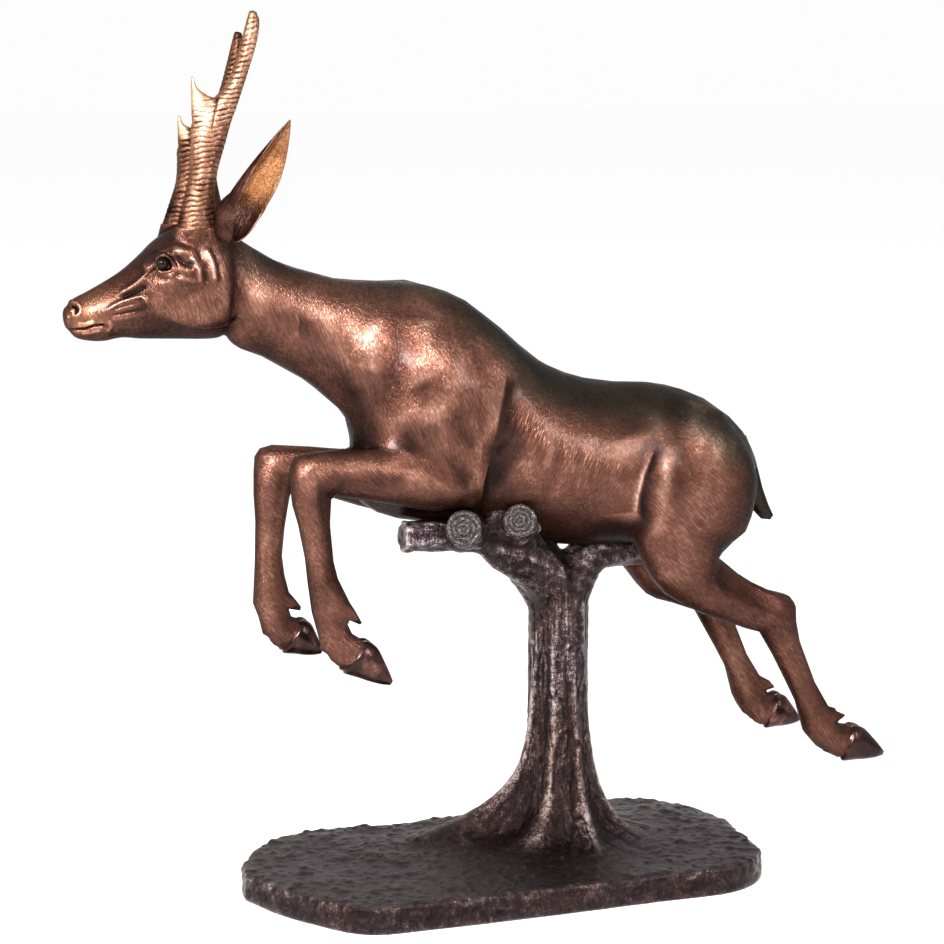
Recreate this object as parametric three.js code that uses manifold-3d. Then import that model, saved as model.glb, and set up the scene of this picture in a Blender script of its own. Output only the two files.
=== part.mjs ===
import * as THREE from 'three';
import Module from 'manifold-3d';

// Driving dimensions in millimetres. The origin is on the flat underside of the ground base, below
// the axis of the tree stump. +Z is up, the antelope leaps towards -X and its left flank faces -Y.
const figureLength = 1352;
const saddleHeight = 533;
const restGap = 0.4;

const trunkRadius = 48;
const trunkLean = -4;
const rootHeight = 290;
const rootSpread = 76;
const rootRidge = 50;
const crotchHeight = 505;
const crotchDome = 75;

const stubRadius = 26;
const sawnRadius = 28;
const sawnReach = 46;
const rearBranchRadius = 25;

const baseLength = 846;
const baseDepth = 422;
const baseThickness = 44;
const baseEdge = 9;
const baseCentre = [-130, -69];
const moundHeight = 20;

// The figure's free form is drawn in shares of its length. Nose to hind hoof spans 980 of them, and
// heights are counted from the ground, so that the belly line lies at 386.
const lengthInShares = 980;
const bellyShare = 386;
const share = figureLength / lengthInShares;

const wasm = await Module();
wasm.setup();

// Solids and their joins

function makeSolid(points, faces) {
  let volume = 0;
  for (const [a, b, c] of faces) {
    volume += points[a].dot(new THREE.Vector3().crossVectors(points[b], points[c]));
  }
  const vertProperties = new Float32Array(points.flatMap((p) => [p.x, p.y, p.z]));
  const outward = volume > 0 ? faces : faces.map(([a, b, c]) => [a, c, b]);
  return new wasm.Manifold(new wasm.Mesh({
    numProp: 3,
    vertProperties,
    triVerts: new Uint32Array(outward.flat()),
  }));
}

// A closed body through rings of equal point count, with a pole at each end
function skin(rings, firstPole, lastPole) {
  const sides = rings[0].length;
  const points = [...rings.flat(), firstPole, lastPole];
  const first = points.length - 2;
  const last = points.length - 1;
  const faces = [];
  for (let i = 0; i < sides; i++) {
    const j = (i + 1) % sides;
    faces.push([first, j, i]);
    faces.push([last, (rings.length - 1) * sides + i, (rings.length - 1) * sides + j]);
    for (let k = 0; k < rings.length - 1; k++) {
      const low = k * sides;
      const high = low + sides;
      faces.push([low + i, low + j, high + j]);
      faces.push([low + i, high + j, high + i]);
    }
  }
  return makeSolid(points, faces);
}

function joined(solids) {
  return solids.reduce((whole, solid) => whole.add(solid));
}

function meshOf(solid, name, material) {
  const { vertProperties, triVerts, numProp } = solid.getMesh();
  const positions = [];
  for (let i = 0; i < vertProperties.length; i += numProp) {
    positions.push(vertProperties[i], vertProperties[i + 1], vertProperties[i + 2]);
  }
  const geometry = new THREE.BufferGeometry();
  geometry.setAttribute('position', new THREE.Float32BufferAttribute(positions, 3));
  geometry.setIndex([...triVerts]);
  geometry.computeVertexNormals();
  const mesh = new THREE.Mesh(geometry, material);
  mesh.name = name;
  return mesh;
}

// A place on the figure, from shares to millimetres
function place(x, y, z) {
  return new THREE.Vector3(x * share, y * share, saddleHeight + (z - bellyShare) * share);
}

// A smooth value along hand-set rows: one number of each row, at t from 0 to 1
function track(rows, column) {
  const curve = new THREE.CatmullRomCurve3(rows.map((row) => new THREE.Vector3(row[column] ?? 0, 0, 0)));
  curve.curveType = 'catmullrom';
  curve.tension = 0.5;
  return (t) => curve.getPoint(t).x;
}

// A limb or trunk of the figure. Each row is one section: the front or upper outline point (x, z),
// the back or lower one (x, z), the side offset y, the half width, and how far the widest line lies
// towards the front point. The grooves of a horn come in through relief(t).
function form(rows, sides, ringCount, extra = 0, relief = () => 0) {
  const [frontX, frontZ, backX, backZ, sideY, width, egg] = [0, 1, 2, 3, 4, 5, 6].map((c) => track(rows, c));
  const grow = extra / share;
  const rings = [];
  const middles = [];
  for (let k = 0; k <= ringCount; k++) {
    const t = k / ringCount;
    const front = new THREE.Vector2(frontX(t), frontZ(t));
    const back = new THREE.Vector2(backX(t), backZ(t));
    const middle = front.clone().add(back).multiplyScalar(0.5);
    const half = front.clone().sub(back).multiplyScalar(0.5);
    half.setLength(half.length() + grow + relief(t));
    const halfWidth = width(t) + grow + relief(t);
    const ring = [];
    for (let i = 0; i < sides; i++) {
      const angle = (2 * Math.PI * i) / sides;
      const along = Math.cos(angle);
      const across = Math.sin(angle) * halfWidth * (1 + egg(t) * along);
      ring.push(place(middle.x + half.x * along, sideY(t) + across, middle.y + half.y * along));
    }
    rings.push(ring);
    middles.push(place(middle.x, sideY(t), middle.y));
  }
  const firstPole = middles[0].clone().lerp(middles[1], -0.35);
  const lastPole = middles[ringCount].clone().lerp(middles[ringCount - 1], -0.35);
  return skin(rings, firstPole, lastPole);
}

// Antelope: trunk, neck and head

function torso(extra) {
  const rows = [
    [-414, 762, -410, 668, 0, 29, 0],
    [-386, 759, -394, 641, 0, 33, 0],
    [-345, 734, -360, 625, 0, 36, 0],
    [-292, 716, -314, 598, 0, 42, 0],
    [-257, 709, -286, 574, 0, 49, -0.05],
    [-221, 707, -262, 548, 0, 58, -0.05],
    [-190, 706, -253, 506, 0, 67, 0],
    [-160, 698, -250, 457, 0, 75, 0.12],
    [-124, 683, -206, 431, 0, 79, 0.18],
    [-82, 651, -128, 420, 0, 82, 0.15],
    [-40, 615, -58, 401, 0, 86, 0.08],
    [0, 593, -4, 388, 0, 89, 0],
    [52, 580, 54, 385, 0, 90, -0.05],
    [110, 575, 118, 386, 0, 87, -0.05],
    [156, 564, 165, 398, 0, 80, 0],
    [193, 544, 198, 416, 0, 66, 0],
    [221, 519, 222, 438, 0, 49, 0],
    [237, 490, 238, 458, 0, 30, 0],
  ];
  return form(rows, 20, 22, extra);
}

function head(extra) {
  const rows = [
    [-388, 742, -392, 664, 0, 31, 0],
    [-404, 765, -408, 650, 0, 40, 0.1],
    [-430, 776, -428, 648, 0, 43, 0.15],
    [-457, 774, -452, 649, 0, 44, 0.25],
    [-480, 760, -477, 650, 0, 41, 0.3],
    [-499, 743, -499, 651, 0, 33, 0.2],
    [-519, 727, -520, 653, 0, 26, 0.05],
    [-540, 714.5, -540, 650, 0, 22, 0],
    [-558, 705, -557, 651, 0, 19.5, 0],
    [-572, 698, -571, 655, 0, 17.5, 0.05],
    [-581, 689, -579, 664, 0, 13, 0],
  ];
  return form(rows, 12, 15, extra);
}

// Side forms are written once, for the left side, and mirrored by the sign of their offset
const left = -1;
const right = 1;

function sided(rows, side) {
  return rows.map((row) => [...row.slice(0, 4), -side * row[4], ...row.slice(5)]);
}

function cheek(side) {
  const rows = [
    [-398, 700, -400, 672, -30, 6],
    [-408, 724, -410, 659, -32, 10],
    [-430, 736, -432, 656, -33, 11],
    [-455, 728, -456, 662, -32, 10],
    [-474, 712, -474, 676, -30, 6],
  ];
  return form(sided(rows, side), 8, 5);
}

// The bony ring above the eye, and the eyeball in it
function brow(side) {
  const rows = [
    [-452, 760, -451, 736, -31, 8],
    [-466, 757, -465, 733, -33, 10.5],
    [-482, 750, -481, 729, -32, 10],
    [-496, 739, -495, 726, -26, 7],
  ];
  return form(sided(rows, side), 6, 5);
}

// Each horn is a flattened column that parts into a short front prong and a long curved tip. The right
// one forks lower and stands a little shorter.
const hornRise = { [left]: 1, [right]: 0.74 };
const tipRise = { [left]: 1, [right]: 1.1 };
const prongRise = { [left]: 1, [right]: 0.72 };
const hornShift = { [left]: 0, [right]: -5 };

function horn(side) {
  const rootHeightShare = 780;
  const forkHeightShare = 908;
  const shift = hornShift[side];
  const lifted = (z, rise, rest) => rootHeightShare + (Math.min(z, forkHeightShare) - rootHeightShare) * rise
    + Math.max(z - forkHeightShare, 0) * rest;
  const raised = (rows, rise, rest) => rows.map(([x0, z0, x1, z1, y, width]) => [
    x0 + shift, lifted(z0, rise, rest), x1 + shift, lifted(z1, rise, rest), y, width,
  ]);
  const column = [
    [-465, 756, -413, 760, -27, 12],
    [-452, 806, -418, 804, -26, 11.5],
    [-445, 836, -414.5, 834, -26, 10.5],
    [-443, 866, -405, 866, -26, 10],
    [-441.5, 888, -398.5, 888, -26, 10],
    [-424, 908, -391.5, 906, -26, 10],
    [-405, 928, -384.5, 926, -26, 9.5],
    [-394, 950, -376.5, 949, -26, 8.5],
    [-386, 974, -368.5, 974, -26, 7],
    [-379, 998, -364.5, 997, -26, 5],
    [-375.5, 1009, -367.5, 1008, -26, 3],
  ];
  const prong = [
    [-440, 874, -412, 874, -26, 7],
    [-441.5, 896, -411, 896, -26, 7],
    [-441.5, 911, -411, 912, -26, 6],
    [-441.5, 920, -424, 919, -26, 5],
    [-441.5, 928, -435, 927, -26, 3.5],
    [-441, 938, -439, 938, -26, 1.5],
  ];
  const columnRings = 24;
  const prongRings = 7;
  const ringRelief = 0.9;
  const rib = (count) => (t) => (Math.round(t * count) % 2 ? -ringRelief : ringRelief) * (1 - 0.6 * t);
  const columnRows = raised(column, hornRise[side], tipRise[side]);
  const prongRows = raised(prong, prongRise[side], prongRise[side]);
  return form(sided(columnRows, side), 8, columnRings, 0, rib(columnRings))
    .add(form(sided(prongRows, side), 8, prongRings, 0, rib(prongRings)));
}

// A cupped leaf, hollowed as the real ear is. The left one opens outwards and back, and the right
// one is turned forwards. Places are shares [x, y, z].
const earPlaces = {
  [left]: { root: [-407, -26, 766], bow: [-378, -62, 828], tip: [-346, -86, 894], opening: [0.35, -0.94, 0.12] },
  [right]: { root: [-412, 27, 764], bow: [-410, 54, 814], tip: [-394, 80, 864], opening: [-1, 0.35, 0.1] },
};

function ear(side) {
  const { root, bow, tip, opening } = earPlaces[side];
  const spine = new THREE.CatmullRomCurve3([place(...root), place(...bow), place(...tip)]);
  const halfWidth = 29.5 * share;
  const cup = 24 * share;
  const rim = 3.2 * share;
  const ringCount = 7;
  const acrossSteps = 4;
  const rings = [];
  for (let k = 0; k <= ringCount; k++) {
    const t = 0.01 + (0.96 * k) / ringCount;
    const rise = spine.getTangent(t);
    const outward = new THREE.Vector3(...opening).projectOnPlane(rise).normalize();
    const across = new THREE.Vector3().crossVectors(rise, outward);
    const spread = Math.sin(Math.PI * Math.min(0.18 + 0.83 * t, 1)) ** 0.85;
    const centre = spine.getPoint(t);
    const leaf = (u, inset) => centre.clone()
      .addScaledVector(across, u * (halfWidth * spread - inset * 0.3))
      .addScaledVector(outward, (u * u - 0.6) * cup * spread * (1 - 0.3 * t) + inset);
    const outer = [];
    const inner = [];
    for (let i = 0; i <= acrossSteps; i++) {
      const u = -1 + (2 * i) / acrossSteps;
      outer.push(leaf(u, 0));
      inner.unshift(leaf(u, rim));
    }
    rings.push([...outer, ...inner]);
  }
  const cap = (ring) => ring.reduce((sum, p) => sum.add(p), new THREE.Vector3()).divideScalar(ring.length);
  return skin(rings, cap(rings[0]), cap(rings[ringCount]).lerp(spine.getPoint(1), 0.6));
}

// Antelope: limbs

// Sections across the bones of a leg. Each profile row is its place along the joints (1.5 is
// halfway down the second bone), how far the skin lies in front and behind, and the half width.
function legRows(joints, profile) {
  const normals = [];
  for (let i = 0; i < joints.length - 1; i++) {
    const bone = new THREE.Vector2(joints[i + 1][0] - joints[i][0], joints[i + 1][1] - joints[i][1]);
    bone.normalize();
    normals.push(new THREE.Vector2(bone.y, -bone.x));
  }
  return profile.map(([position, front, back, halfWidth, egg = 0]) => {
    const bone = Math.min(Math.floor(position), joints.length - 2);
    const t = position - bone;
    const [x0, z0, y0] = joints[bone];
    const [x1, z1, y1] = joints[bone + 1];
    const across = normals[bone].clone();
    if (t === 0 && bone > 0) across.add(normals[bone - 1]).normalize();
    const x = x0 + (x1 - x0) * t;
    const z = z0 + (z1 - z0) * t;
    return [
      x + across.x * front, z + across.y * front,
      x - across.x * back, z - across.y * back,
      y0 + (y1 - y0) * t, halfWidth, egg,
    ];
  });
}

// Two toes and the two small claws behind the fetlock
function foot(joints, side) {
  const [fetlock, coronet] = joints.slice(-3, -1);
  const toe = joints[joints.length - 1];
  const toeProfile = [
    [0, 18, 16, 8],
    [0.26, 21, 20, 10.5],
    [0.5, 17, 21, 10.5],
    [0.72, 12, 14, 9],
    [0.88, 7, 8, 6.5],
    [1, 2.5, 2.5, 3.5],
  ];
  const clawProfile = [
    [0, 6, 6, 5],
    [0.5, 5.5, 5.5, 5],
    [1, 1.5, 1.5, 2],
  ];
  const down = new THREE.Vector2(coronet[0] - fetlock[0], coronet[1] - fetlock[1]).normalize();
  const behind = new THREE.Vector2(-down.y, down.x);
  const clawRoot = [fetlock[0] + behind.x * 17 + down.x * 4, fetlock[1] + behind.y * 17 + down.y * 4];
  const clawTip = [clawRoot[0] + behind.x * 9 + down.x * 17, clawRoot[1] + behind.y * 9 + down.y * 17];
  const solids = [];
  for (const apart of [-1, 1]) {
    const bones = [[...coronet.slice(0, 2), coronet[2] + apart * 7], [...toe.slice(0, 2), toe[2] + apart * 11]];
    solids.push(form(sided(legRows(bones, toeProfile), side), 6, 5));
    const claw = [[...clawRoot, fetlock[2] + apart * 8], [...clawTip, fetlock[2] + apart * 10]];
    solids.push(form(sided(legRows(claw, clawProfile), side), 6, 2));
  }
  return solids;
}

// Joints are elbow, knee, fetlock, coronet and toe, as [x, z, y]
const foreJoints = {
  [left]: [[-131, 490, -50], [-318, 497, -56], [-299, 342, -55], [-287, 300, -55], [-231, 252, -55]],
  [right]: [[-131, 460, -48], [-333, 489, -50], [-342, 332, -51], [-330, 298, -52], [-285, 267, -53]],
};

function foreleg(side, extra) {
  const profile = [
    [0, 44, 32, 24],
    [0.19, 30, 45, 27],
    [0.45, 30, 38, 24],
    [0.7, 28, 29, 19.5],
    [0.86, 28, 25, 18],
    [1, 29, 25, 18],
    [1.14, 27, 19, 17],
    [1.33, 24, 15, 14.5],
    [1.5, 22, 13, 13],
    [1.66, 21, 12, 12.5],
    [1.8, 21, 15, 13],
    [1.93, 21, 21, 15.5],
    [2, 20, 23, 16],
    [2.4, 18, 16, 14],
    [2.75, 18, 15, 14],
    [3, 19, 18, 15],
  ];
  return form(sided(legRows(foreJoints[side].slice(0, 4), profile), side), 10, 20, extra);
}

// Shoulder blade and upper arm, from the withers down to the elbow
function shoulder(side, extra) {
  const rows = [
    [-176, 668, -142, 662, -42, 12],
    [-196, 640, -122, 632, -48, 26],
    [-212, 604, -104, 596, -50, 32],
    [-220, 566, -94, 560, -51, 34],
    [-216, 528, -92, 526, -52, 34],
    [-204, 494, -96, 492, -52, 32],
    [-186, 470, -106, 466, -50, 24],
    [-166, 452, -120, 452, -48, 12],
  ];
  return form(sided(rows, side), 8, 9, extra);
}

// Joints are stifle, hock, fetlock, coronet and toe, as [x, z, y]
const hindJoints = {
  [left]: [[105, 347, -54], [254, 293, -56], [312, 157, -56], [333, 137, -56], [396, 113, -56]],
  [right]: [[98, 342, -52], [215, 299, -52], [266, 177, -52], [283, 153, -53], [334, 132, -54]],
};

function hindleg(side, extra) {
  const thigh = [
    [132, 556, 190, 536, -40, 24, 0],
    [112, 536, 208, 508, -47, 40, 0],
    [92, 505, 224, 477, -50, 45, 0],
    [75, 466, 227, 446, -51, 44, 0],
    [69, 425, 216, 404, -52, 39, 0],
    [78, 378, 201, 374, -53, 31, 0],
  ];
  const profile = [
    [0.1, 16, 62, 27],
    [0.36, 23, 49, 22],
    [0.62, 24, 34, 18],
    [0.84, 25, 28, 16],
    [1, 26, 30, 16],
    [1.12, 25, 23, 15.5],
    [1.3, 21, 17, 14.5],
    [1.55, 18, 16, 13.5],
    [1.75, 16, 17, 13.5],
    [1.9, 18, 20, 15.5],
    [2, 20, 21, 16],
    [2.5, 20, 18, 15],
    [3, 18, 17, 15],
  ];
  const rows = [...thigh, ...legRows(hindJoints[side].slice(0, 4), profile)];
  return form(sided(rows, side), 10, 21, extra);
}

function tail(extra) {
  const rows = [
    [236, 506, 226, 452, 0, 12],
    [249, 474, 238, 432, 0, 12],
    [259, 442, 247, 414, 0, 10],
    [267, 420, 257, 402, 0, 7],
    [273, 408, 267, 400, 0, 4],
  ];
  return form(rows, 8, 7, extra);
}

// What rests on the stump is built again a little fuller, to cut its seat with the rest gap
function bearingForms(extra) {
  return [
    torso(extra),
    ...[left, right].flatMap((side) => [shoulder(side, extra), foreleg(side, extra), hindleg(side, extra)]),
  ];
}

function antelope() {
  const details = [left, right].flatMap((side) => [
    cheek(side), brow(side), horn(side), ear(side),
    ...foot(foreJoints[side], side), ...foot(hindJoints[side], side),
  ]);
  return joined([...bearingForms(0), head(0), tail(0), ...details]);
}

// Tree stump: ground base, trunk with its roots, and the sawn branches

// Each root is its direction round the trunk in degrees, and how far it runs against the mean
const roots = [[-176, 2.3], [-124, 1], [-78, 0.9], [-32, 0.7], [16, 0.45], [72, 0.8], [128, 0.9]];
const barkFlutes = 9;

function groundHeight(x, y) {
  const near = Math.exp(-((x / 190) ** 2) - ((y / 120) ** 2));
  const rolling = Math.sin(x / 67) * Math.cos(y / 49) + 0.6 * Math.sin(x / 29 + y / 41);
  return baseThickness + moundHeight * near + 2.2 * rolling;
}

// The edge of the ground, as shares of half the base's length and half its depth
function groundEdge() {
  const edgeSteps = 32;
  const corners = [
    [-1, 0.05], [-0.95, 0.46], [-0.8, 0.86], [-0.55, 1], [-0.26, 0.93], [0.06, 0.95], [0.45, 1],
    [0.8, 0.93], [0.98, 0.48], [1, -0.14], [0.97, -0.62], [0.8, -0.91], [0.45, -0.95], [0.05, -0.99],
    [-0.36, -1], [-0.66, -0.96], [-0.84, -0.58], [-0.94, -0.25],
  ];
  const curve = new THREE.CatmullRomCurve3(corners.map(([x, y]) => new THREE.Vector3(
    baseCentre[0] + (x * baseLength) / 2,
    baseCentre[1] + (y * baseDepth) / 2,
    0,
  )), true, 'centripetal');
  return curve.getSpacedPoints(edgeSteps).slice(0, edgeSteps);
}

function ground() {
  const edge = groundEdge();
  const centre = new THREE.Vector3(...baseCentre, 0);
  const moved = (inset, z) => edge.map((p) => {
    const inward = centre.clone().sub(p).setLength(inset);
    return p.clone().add(inward).setZ(z);
  });
  const inner = (scale) => edge.map((p) => {
    const q = p.clone().multiplyScalar(scale);
    return q.setZ(groundHeight(q.x, q.y));
  });
  const shoulderHeight = baseThickness - baseEdge;
  const rings = [
    moved(baseEdge * 0.6, 0),
    moved(0, baseEdge),
    moved(baseEdge * 0.2, shoulderHeight),
    moved(baseEdge, baseThickness - 1),
    inner(0.84),
    inner(0.62),
    inner(0.4),
    inner(0.2),
  ];
  return skin(rings, centre, new THREE.Vector3(0, 0, groundHeight(0, 0)));
}

function trunk() {
  const sides = 26;
  const ringCount = 11;
  const footDepth = 12;
  const rings = [];
  for (let k = 0; k <= ringCount; k++) {
    const t = (k / ringCount) ** 1.4;
    const z = baseThickness - footDepth + t * (crotchHeight - baseThickness + footDepth);
    const above = Math.max(0, z - baseThickness);
    const low = Math.max(0, 1 - above / rootHeight);
    const ring = [];
    for (let i = 0; i < sides; i++) {
      const angle = (2 * Math.PI * i) / sides;
      let radius = trunkRadius + rootSpread * 0.5 * low ** 5;
      for (const [heading, reach] of roots) {
        const turn = Math.atan2(
          Math.sin(angle - THREE.MathUtils.degToRad(heading)),
          Math.cos(angle - THREE.MathUtils.degToRad(heading)),
        );
        radius += reach * (rootSpread * low ** 6 + rootRidge * 0.3 * low) * Math.exp(-((turn / 0.27) ** 2));
      }
      radius += 1.8 * Math.sin(barkFlutes * angle + 3 * t);
      radius *= Math.sqrt(1 - (Math.max(0, z + 0.75 * crotchDome - crotchHeight) / crotchDome) ** 2);
      const axis = trunkLean * (1 - low);
      ring.push(new THREE.Vector3(axis + radius * Math.cos(angle), radius * Math.sin(angle), z));
    }
    rings.push(ring);
  }
  return skin(rings, rings[0][0].clone().setX(0).setY(0), new THREE.Vector3(trunkLean, 0, crotchHeight + 14));
}

// A branch is a tube of changing radius along a few points. A sawn one ends in a flat face.
function branch(points, radii, sides = 10) {
  const ringCount = 3 * (points.length - 1);
  const line = new THREE.CatmullRomCurve3(points);
  const thickness = new THREE.CatmullRomCurve3(radii.map((r) => new THREE.Vector3(r, 0, 0)));
  const rings = [];
  for (let k = 0; k <= ringCount; k++) {
    const t = k / ringCount;
    const ahead = line.getTangent(t);
    const up = new THREE.Vector3(0, 0, 1).projectOnPlane(ahead);
    if (up.length() < 0.2) up.copy(new THREE.Vector3(0, 1, 0).projectOnPlane(ahead));
    up.normalize();
    const aside = new THREE.Vector3().crossVectors(ahead, up);
    const centre = line.getPoint(t);
    const radius = thickness.getPoint(t).x;
    const ring = [];
    for (let i = 0; i < sides; i++) {
      const angle = (2 * Math.PI * i) / sides;
      const bark = 1 + 0.05 * Math.sin(5 * angle + 2 * k);
      ring.push(centre.clone()
        .addScaledVector(up, radius * bark * Math.cos(angle))
        .addScaledVector(aside, radius * bark * Math.sin(angle)));
    }
    rings.push(ring);
  }
  return skin(rings, line.getPoint(0), line.getPoint(1));
}

function treeStump() {
  const fork = new THREE.Vector3(trunkLean, 0, crotchHeight - 70);
  const limb = [fork, place(-33, -8, 364), place(-76, -20, 397), place(-112, -26, 420)];
  const stub = [place(-84, -18, 402), place(-130, -20, 409), place(-203, -20, 412)];
  const rearward = [fork, place(32, 2, 360), place(76, 12, 368), place(112, 24, 364)];
  const sawnFore = [place(-112, -24, 410), place(-128, -44, 418), place(-144, -42 - sawnReach * 0.62, 427)];
  const sawnMiddle = [place(-54, -16, 398), place(-64, -42, 418), place(-77, -45 - sawnReach * 0.62, 433)];
  const crown = [place(-76, -22, 400), place(-88, -36, 420), place(-100, -50, 438)];
  const solids = [
    ground(),
    trunk(),
    branch(limb, [trunkRadius * 0.9, 47, 44, 30], 12),
    branch(stub, [stubRadius, stubRadius, stubRadius]),
    branch(rearward, [trunkRadius * 0.9, 35, rearBranchRadius, rearBranchRadius * 0.8], 10),
    branch(sawnFore, [stubRadius, sawnRadius * 1.05, sawnRadius]),
    branch(sawnMiddle, [stubRadius, sawnRadius * 0.98, sawnRadius * 0.92]),
    branch(crown, [34, 28, 16], 10),
  ];
  let stump = joined(solids);
  for (const seat of bearingForms(restGap)) stump = stump.subtract(seat);
  return stump.decompose().sort((a, b) => b.volume() - a.volume())[0];
}

// Materials and the finished group

const reddishBronze = new THREE.MeshStandardMaterial({ color: 0x5a3022, roughness: 0.42, metalness: 0.85 });
const blackBronze = new THREE.MeshStandardMaterial({ color: 0x2a2426, roughness: 0.5, metalness: 0.8 });

const statue = new THREE.Group();
statue.add(meshOf(antelope(), 'antelope', reddishBronze));
statue.add(meshOf(treeStump(), 'tree_stump', blackBronze));

export default statue;
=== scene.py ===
import itertools
import math

import bpy
import numpy as np
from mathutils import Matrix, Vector
from mathutils.bvhtree import BVHTree


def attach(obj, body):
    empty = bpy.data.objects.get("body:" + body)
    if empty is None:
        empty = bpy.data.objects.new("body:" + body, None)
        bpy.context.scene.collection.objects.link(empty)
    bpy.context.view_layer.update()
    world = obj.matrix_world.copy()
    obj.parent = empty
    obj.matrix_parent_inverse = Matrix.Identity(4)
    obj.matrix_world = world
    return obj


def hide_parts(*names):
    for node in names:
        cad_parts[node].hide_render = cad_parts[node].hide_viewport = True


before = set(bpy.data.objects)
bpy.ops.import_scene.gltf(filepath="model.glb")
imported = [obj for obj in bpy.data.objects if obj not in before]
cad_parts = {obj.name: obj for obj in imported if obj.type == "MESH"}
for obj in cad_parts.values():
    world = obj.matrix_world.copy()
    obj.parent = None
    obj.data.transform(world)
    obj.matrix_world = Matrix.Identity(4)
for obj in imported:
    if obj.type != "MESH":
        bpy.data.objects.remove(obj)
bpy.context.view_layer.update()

# Camera, floor and light. The statue is seen from a little in front of its left flank and from
# slightly above, on a plain pale studio floor. A large soft lamp stands above the camera, a strip
# lights the hind quarters, another the head, and the pale sky fills the rest.
camera_place = Vector((-1.439, -3.957, 1.400))
camera_aim = Vector((-0.203, -0.153, 0.690))
camera_lens = 100
floor_size = 60
floor_colour = (0.99, 0.99, 0.99, 1)
sky_colour = (1.0, 1.0, 1.0, 1)
sky_strength = 0.98
lamps = {
    "key_box": dict(place=(-1.75, -3.5, 2.25), aim=(-0.2, 0, 0.75), size=0.7, depth=0.7, power=370),
    "side_strip": dict(place=(1.5, -3.1, 1.9), aim=(0.1, 0, 0.65), size=0.35, depth=1.2, power=60),
    "head_strip": dict(place=(-3.2, -1.9, 2.0), aim=(-0.5, 0, 0.9), size=0.4, depth=1.3, power=60),
    "back_box": dict(place=(0.6, 2.8, 2.4), aim=(0, 0, 0.7), size=0.9, depth=0.9, power=12),
}

camera = bpy.data.objects.new("camera", bpy.data.cameras.new("camera"))
bpy.context.scene.collection.objects.link(camera)
camera.location = camera_place
camera.rotation_euler = (camera_aim - camera_place).to_track_quat("-Z", "Y").to_euler()
camera.data.lens = camera_lens
bpy.context.scene.camera = camera
bpy.context.scene.view_settings.view_transform = "Standard"

for lamp_name, lamp in lamps.items():
    light = bpy.data.lights.new(lamp_name, "AREA")
    light.shape = "RECTANGLE"
    light.size, light.size_y, light.energy = lamp["size"], lamp["depth"], lamp["power"]
    stand = bpy.data.objects.new(lamp_name, light)
    bpy.context.scene.collection.objects.link(stand)
    stand.location = lamp["place"]
    heading = Vector(lamp["aim"]) - Vector(lamp["place"])
    stand.rotation_euler = heading.to_track_quat("-Z", "Y").to_euler()

world = bpy.data.worlds.new("studio")
world.use_nodes = True
world.node_tree.nodes["Background"].inputs["Color"].default_value = sky_colour
world.node_tree.nodes["Background"].inputs["Strength"].default_value = sky_strength
bpy.context.scene.world = world

bpy.ops.object.select_all(action="DESELECT")
bpy.ops.mesh.primitive_plane_add(size=floor_size)
studio_floor = bpy.context.object
studio_floor.name = "studio_floor"
floor_paint = bpy.data.materials.new("pale_floor")
floor_paint.use_nodes = True
floor_paint.node_tree.nodes["Principled BSDF"].inputs["Base Color"].default_value = floor_colour
floor_paint.node_tree.nodes["Principled BSDF"].inputs["Roughness"].default_value = 0.9
studio_floor.data.materials.append(floor_paint)

# Antelope skin. The body is one hollow bronze casting of trunk, neck, head, legs and tail. It is
# drawn as overlapping closed limbs in shares of the figure's length, melted into one skin, filled
# where limbs meet, and then worked with the modelling tool: folds, muscles, eyelids, lips, hair.
share = 1.352 / 980
saddle_height = 0.533
belly_share = 386
skin_voxel = 0.0025
left, right = -1, 1


def place(points):
    """From shares to metres"""
    points = np.asarray(points, float)
    moved = points * share
    moved[..., 2] = saddle_height + (points[..., 2] - belly_share) * share
    return moved


def eased(rows, steps):
    """Smooth values along given rows"""
    width = max(len(row) for row in rows)
    rows = np.array([list(row) + [0] * (width - len(row)) for row in rows], float)
    rows = np.vstack([2 * rows[0] - rows[1], rows, 2 * rows[-1] - rows[-2]])
    along = np.linspace(0, len(rows) - 3, steps + 1)
    first = np.minimum(along.astype(int), len(rows) - 4)
    f = (along - first)[:, None]
    a, b, c, d = (rows[first + k] for k in range(4))
    return 0.5 * (2 * b + (c - a) * f + (2 * a - 5 * b + 4 * c - d) * f**2
                  + (3 * b - a - 3 * c + d) * f**3)


def limb(rows, sides=40, steps=70, dome=5.0):
    """Rings of one limb. A row is its front point x, z, back point x, z, side offset, half width, egg."""
    line = eased([list(row) + [0] * (7 - len(row)) for row in rows], steps)
    dome_turns = np.radians([78, 56, 34, 14])
    middle = (line[:, 0:2] + line[:, 2:4]) / 2
    half = (line[:, 0:2] - line[:, 2:4]) / 2
    turn = np.arange(sides) * 2 * np.pi / sides
    up, across = np.cos(turn), np.sin(turn)

    def ring(centre, reach, row, scale):
        width = row[5] * (1 + row[6] * up) * scale
        return np.stack([centre[0] + reach[0] * up * scale, row[4] + across * width,
                         centre[1] + reach[1] * up * scale], 1)

    rings = [ring(middle[k], half[k], line[k], 1) for k in range(steps + 1)]
    start = middle[0] - middle[1]
    start /= np.linalg.norm(start)
    end = middle[-1] - middle[-2]
    end /= np.linalg.norm(end)
    head_cap = [ring(middle[0] + start * dome * math.sin(a), half[0], line[0], math.cos(a))
                for a in dome_turns]
    foot_cap = [ring(middle[-1] + end * dome * math.sin(a), half[-1], line[-1], math.cos(a))
                for a in dome_turns[::-1]]
    return place(np.array(head_cap + rings + foot_cap))


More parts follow.
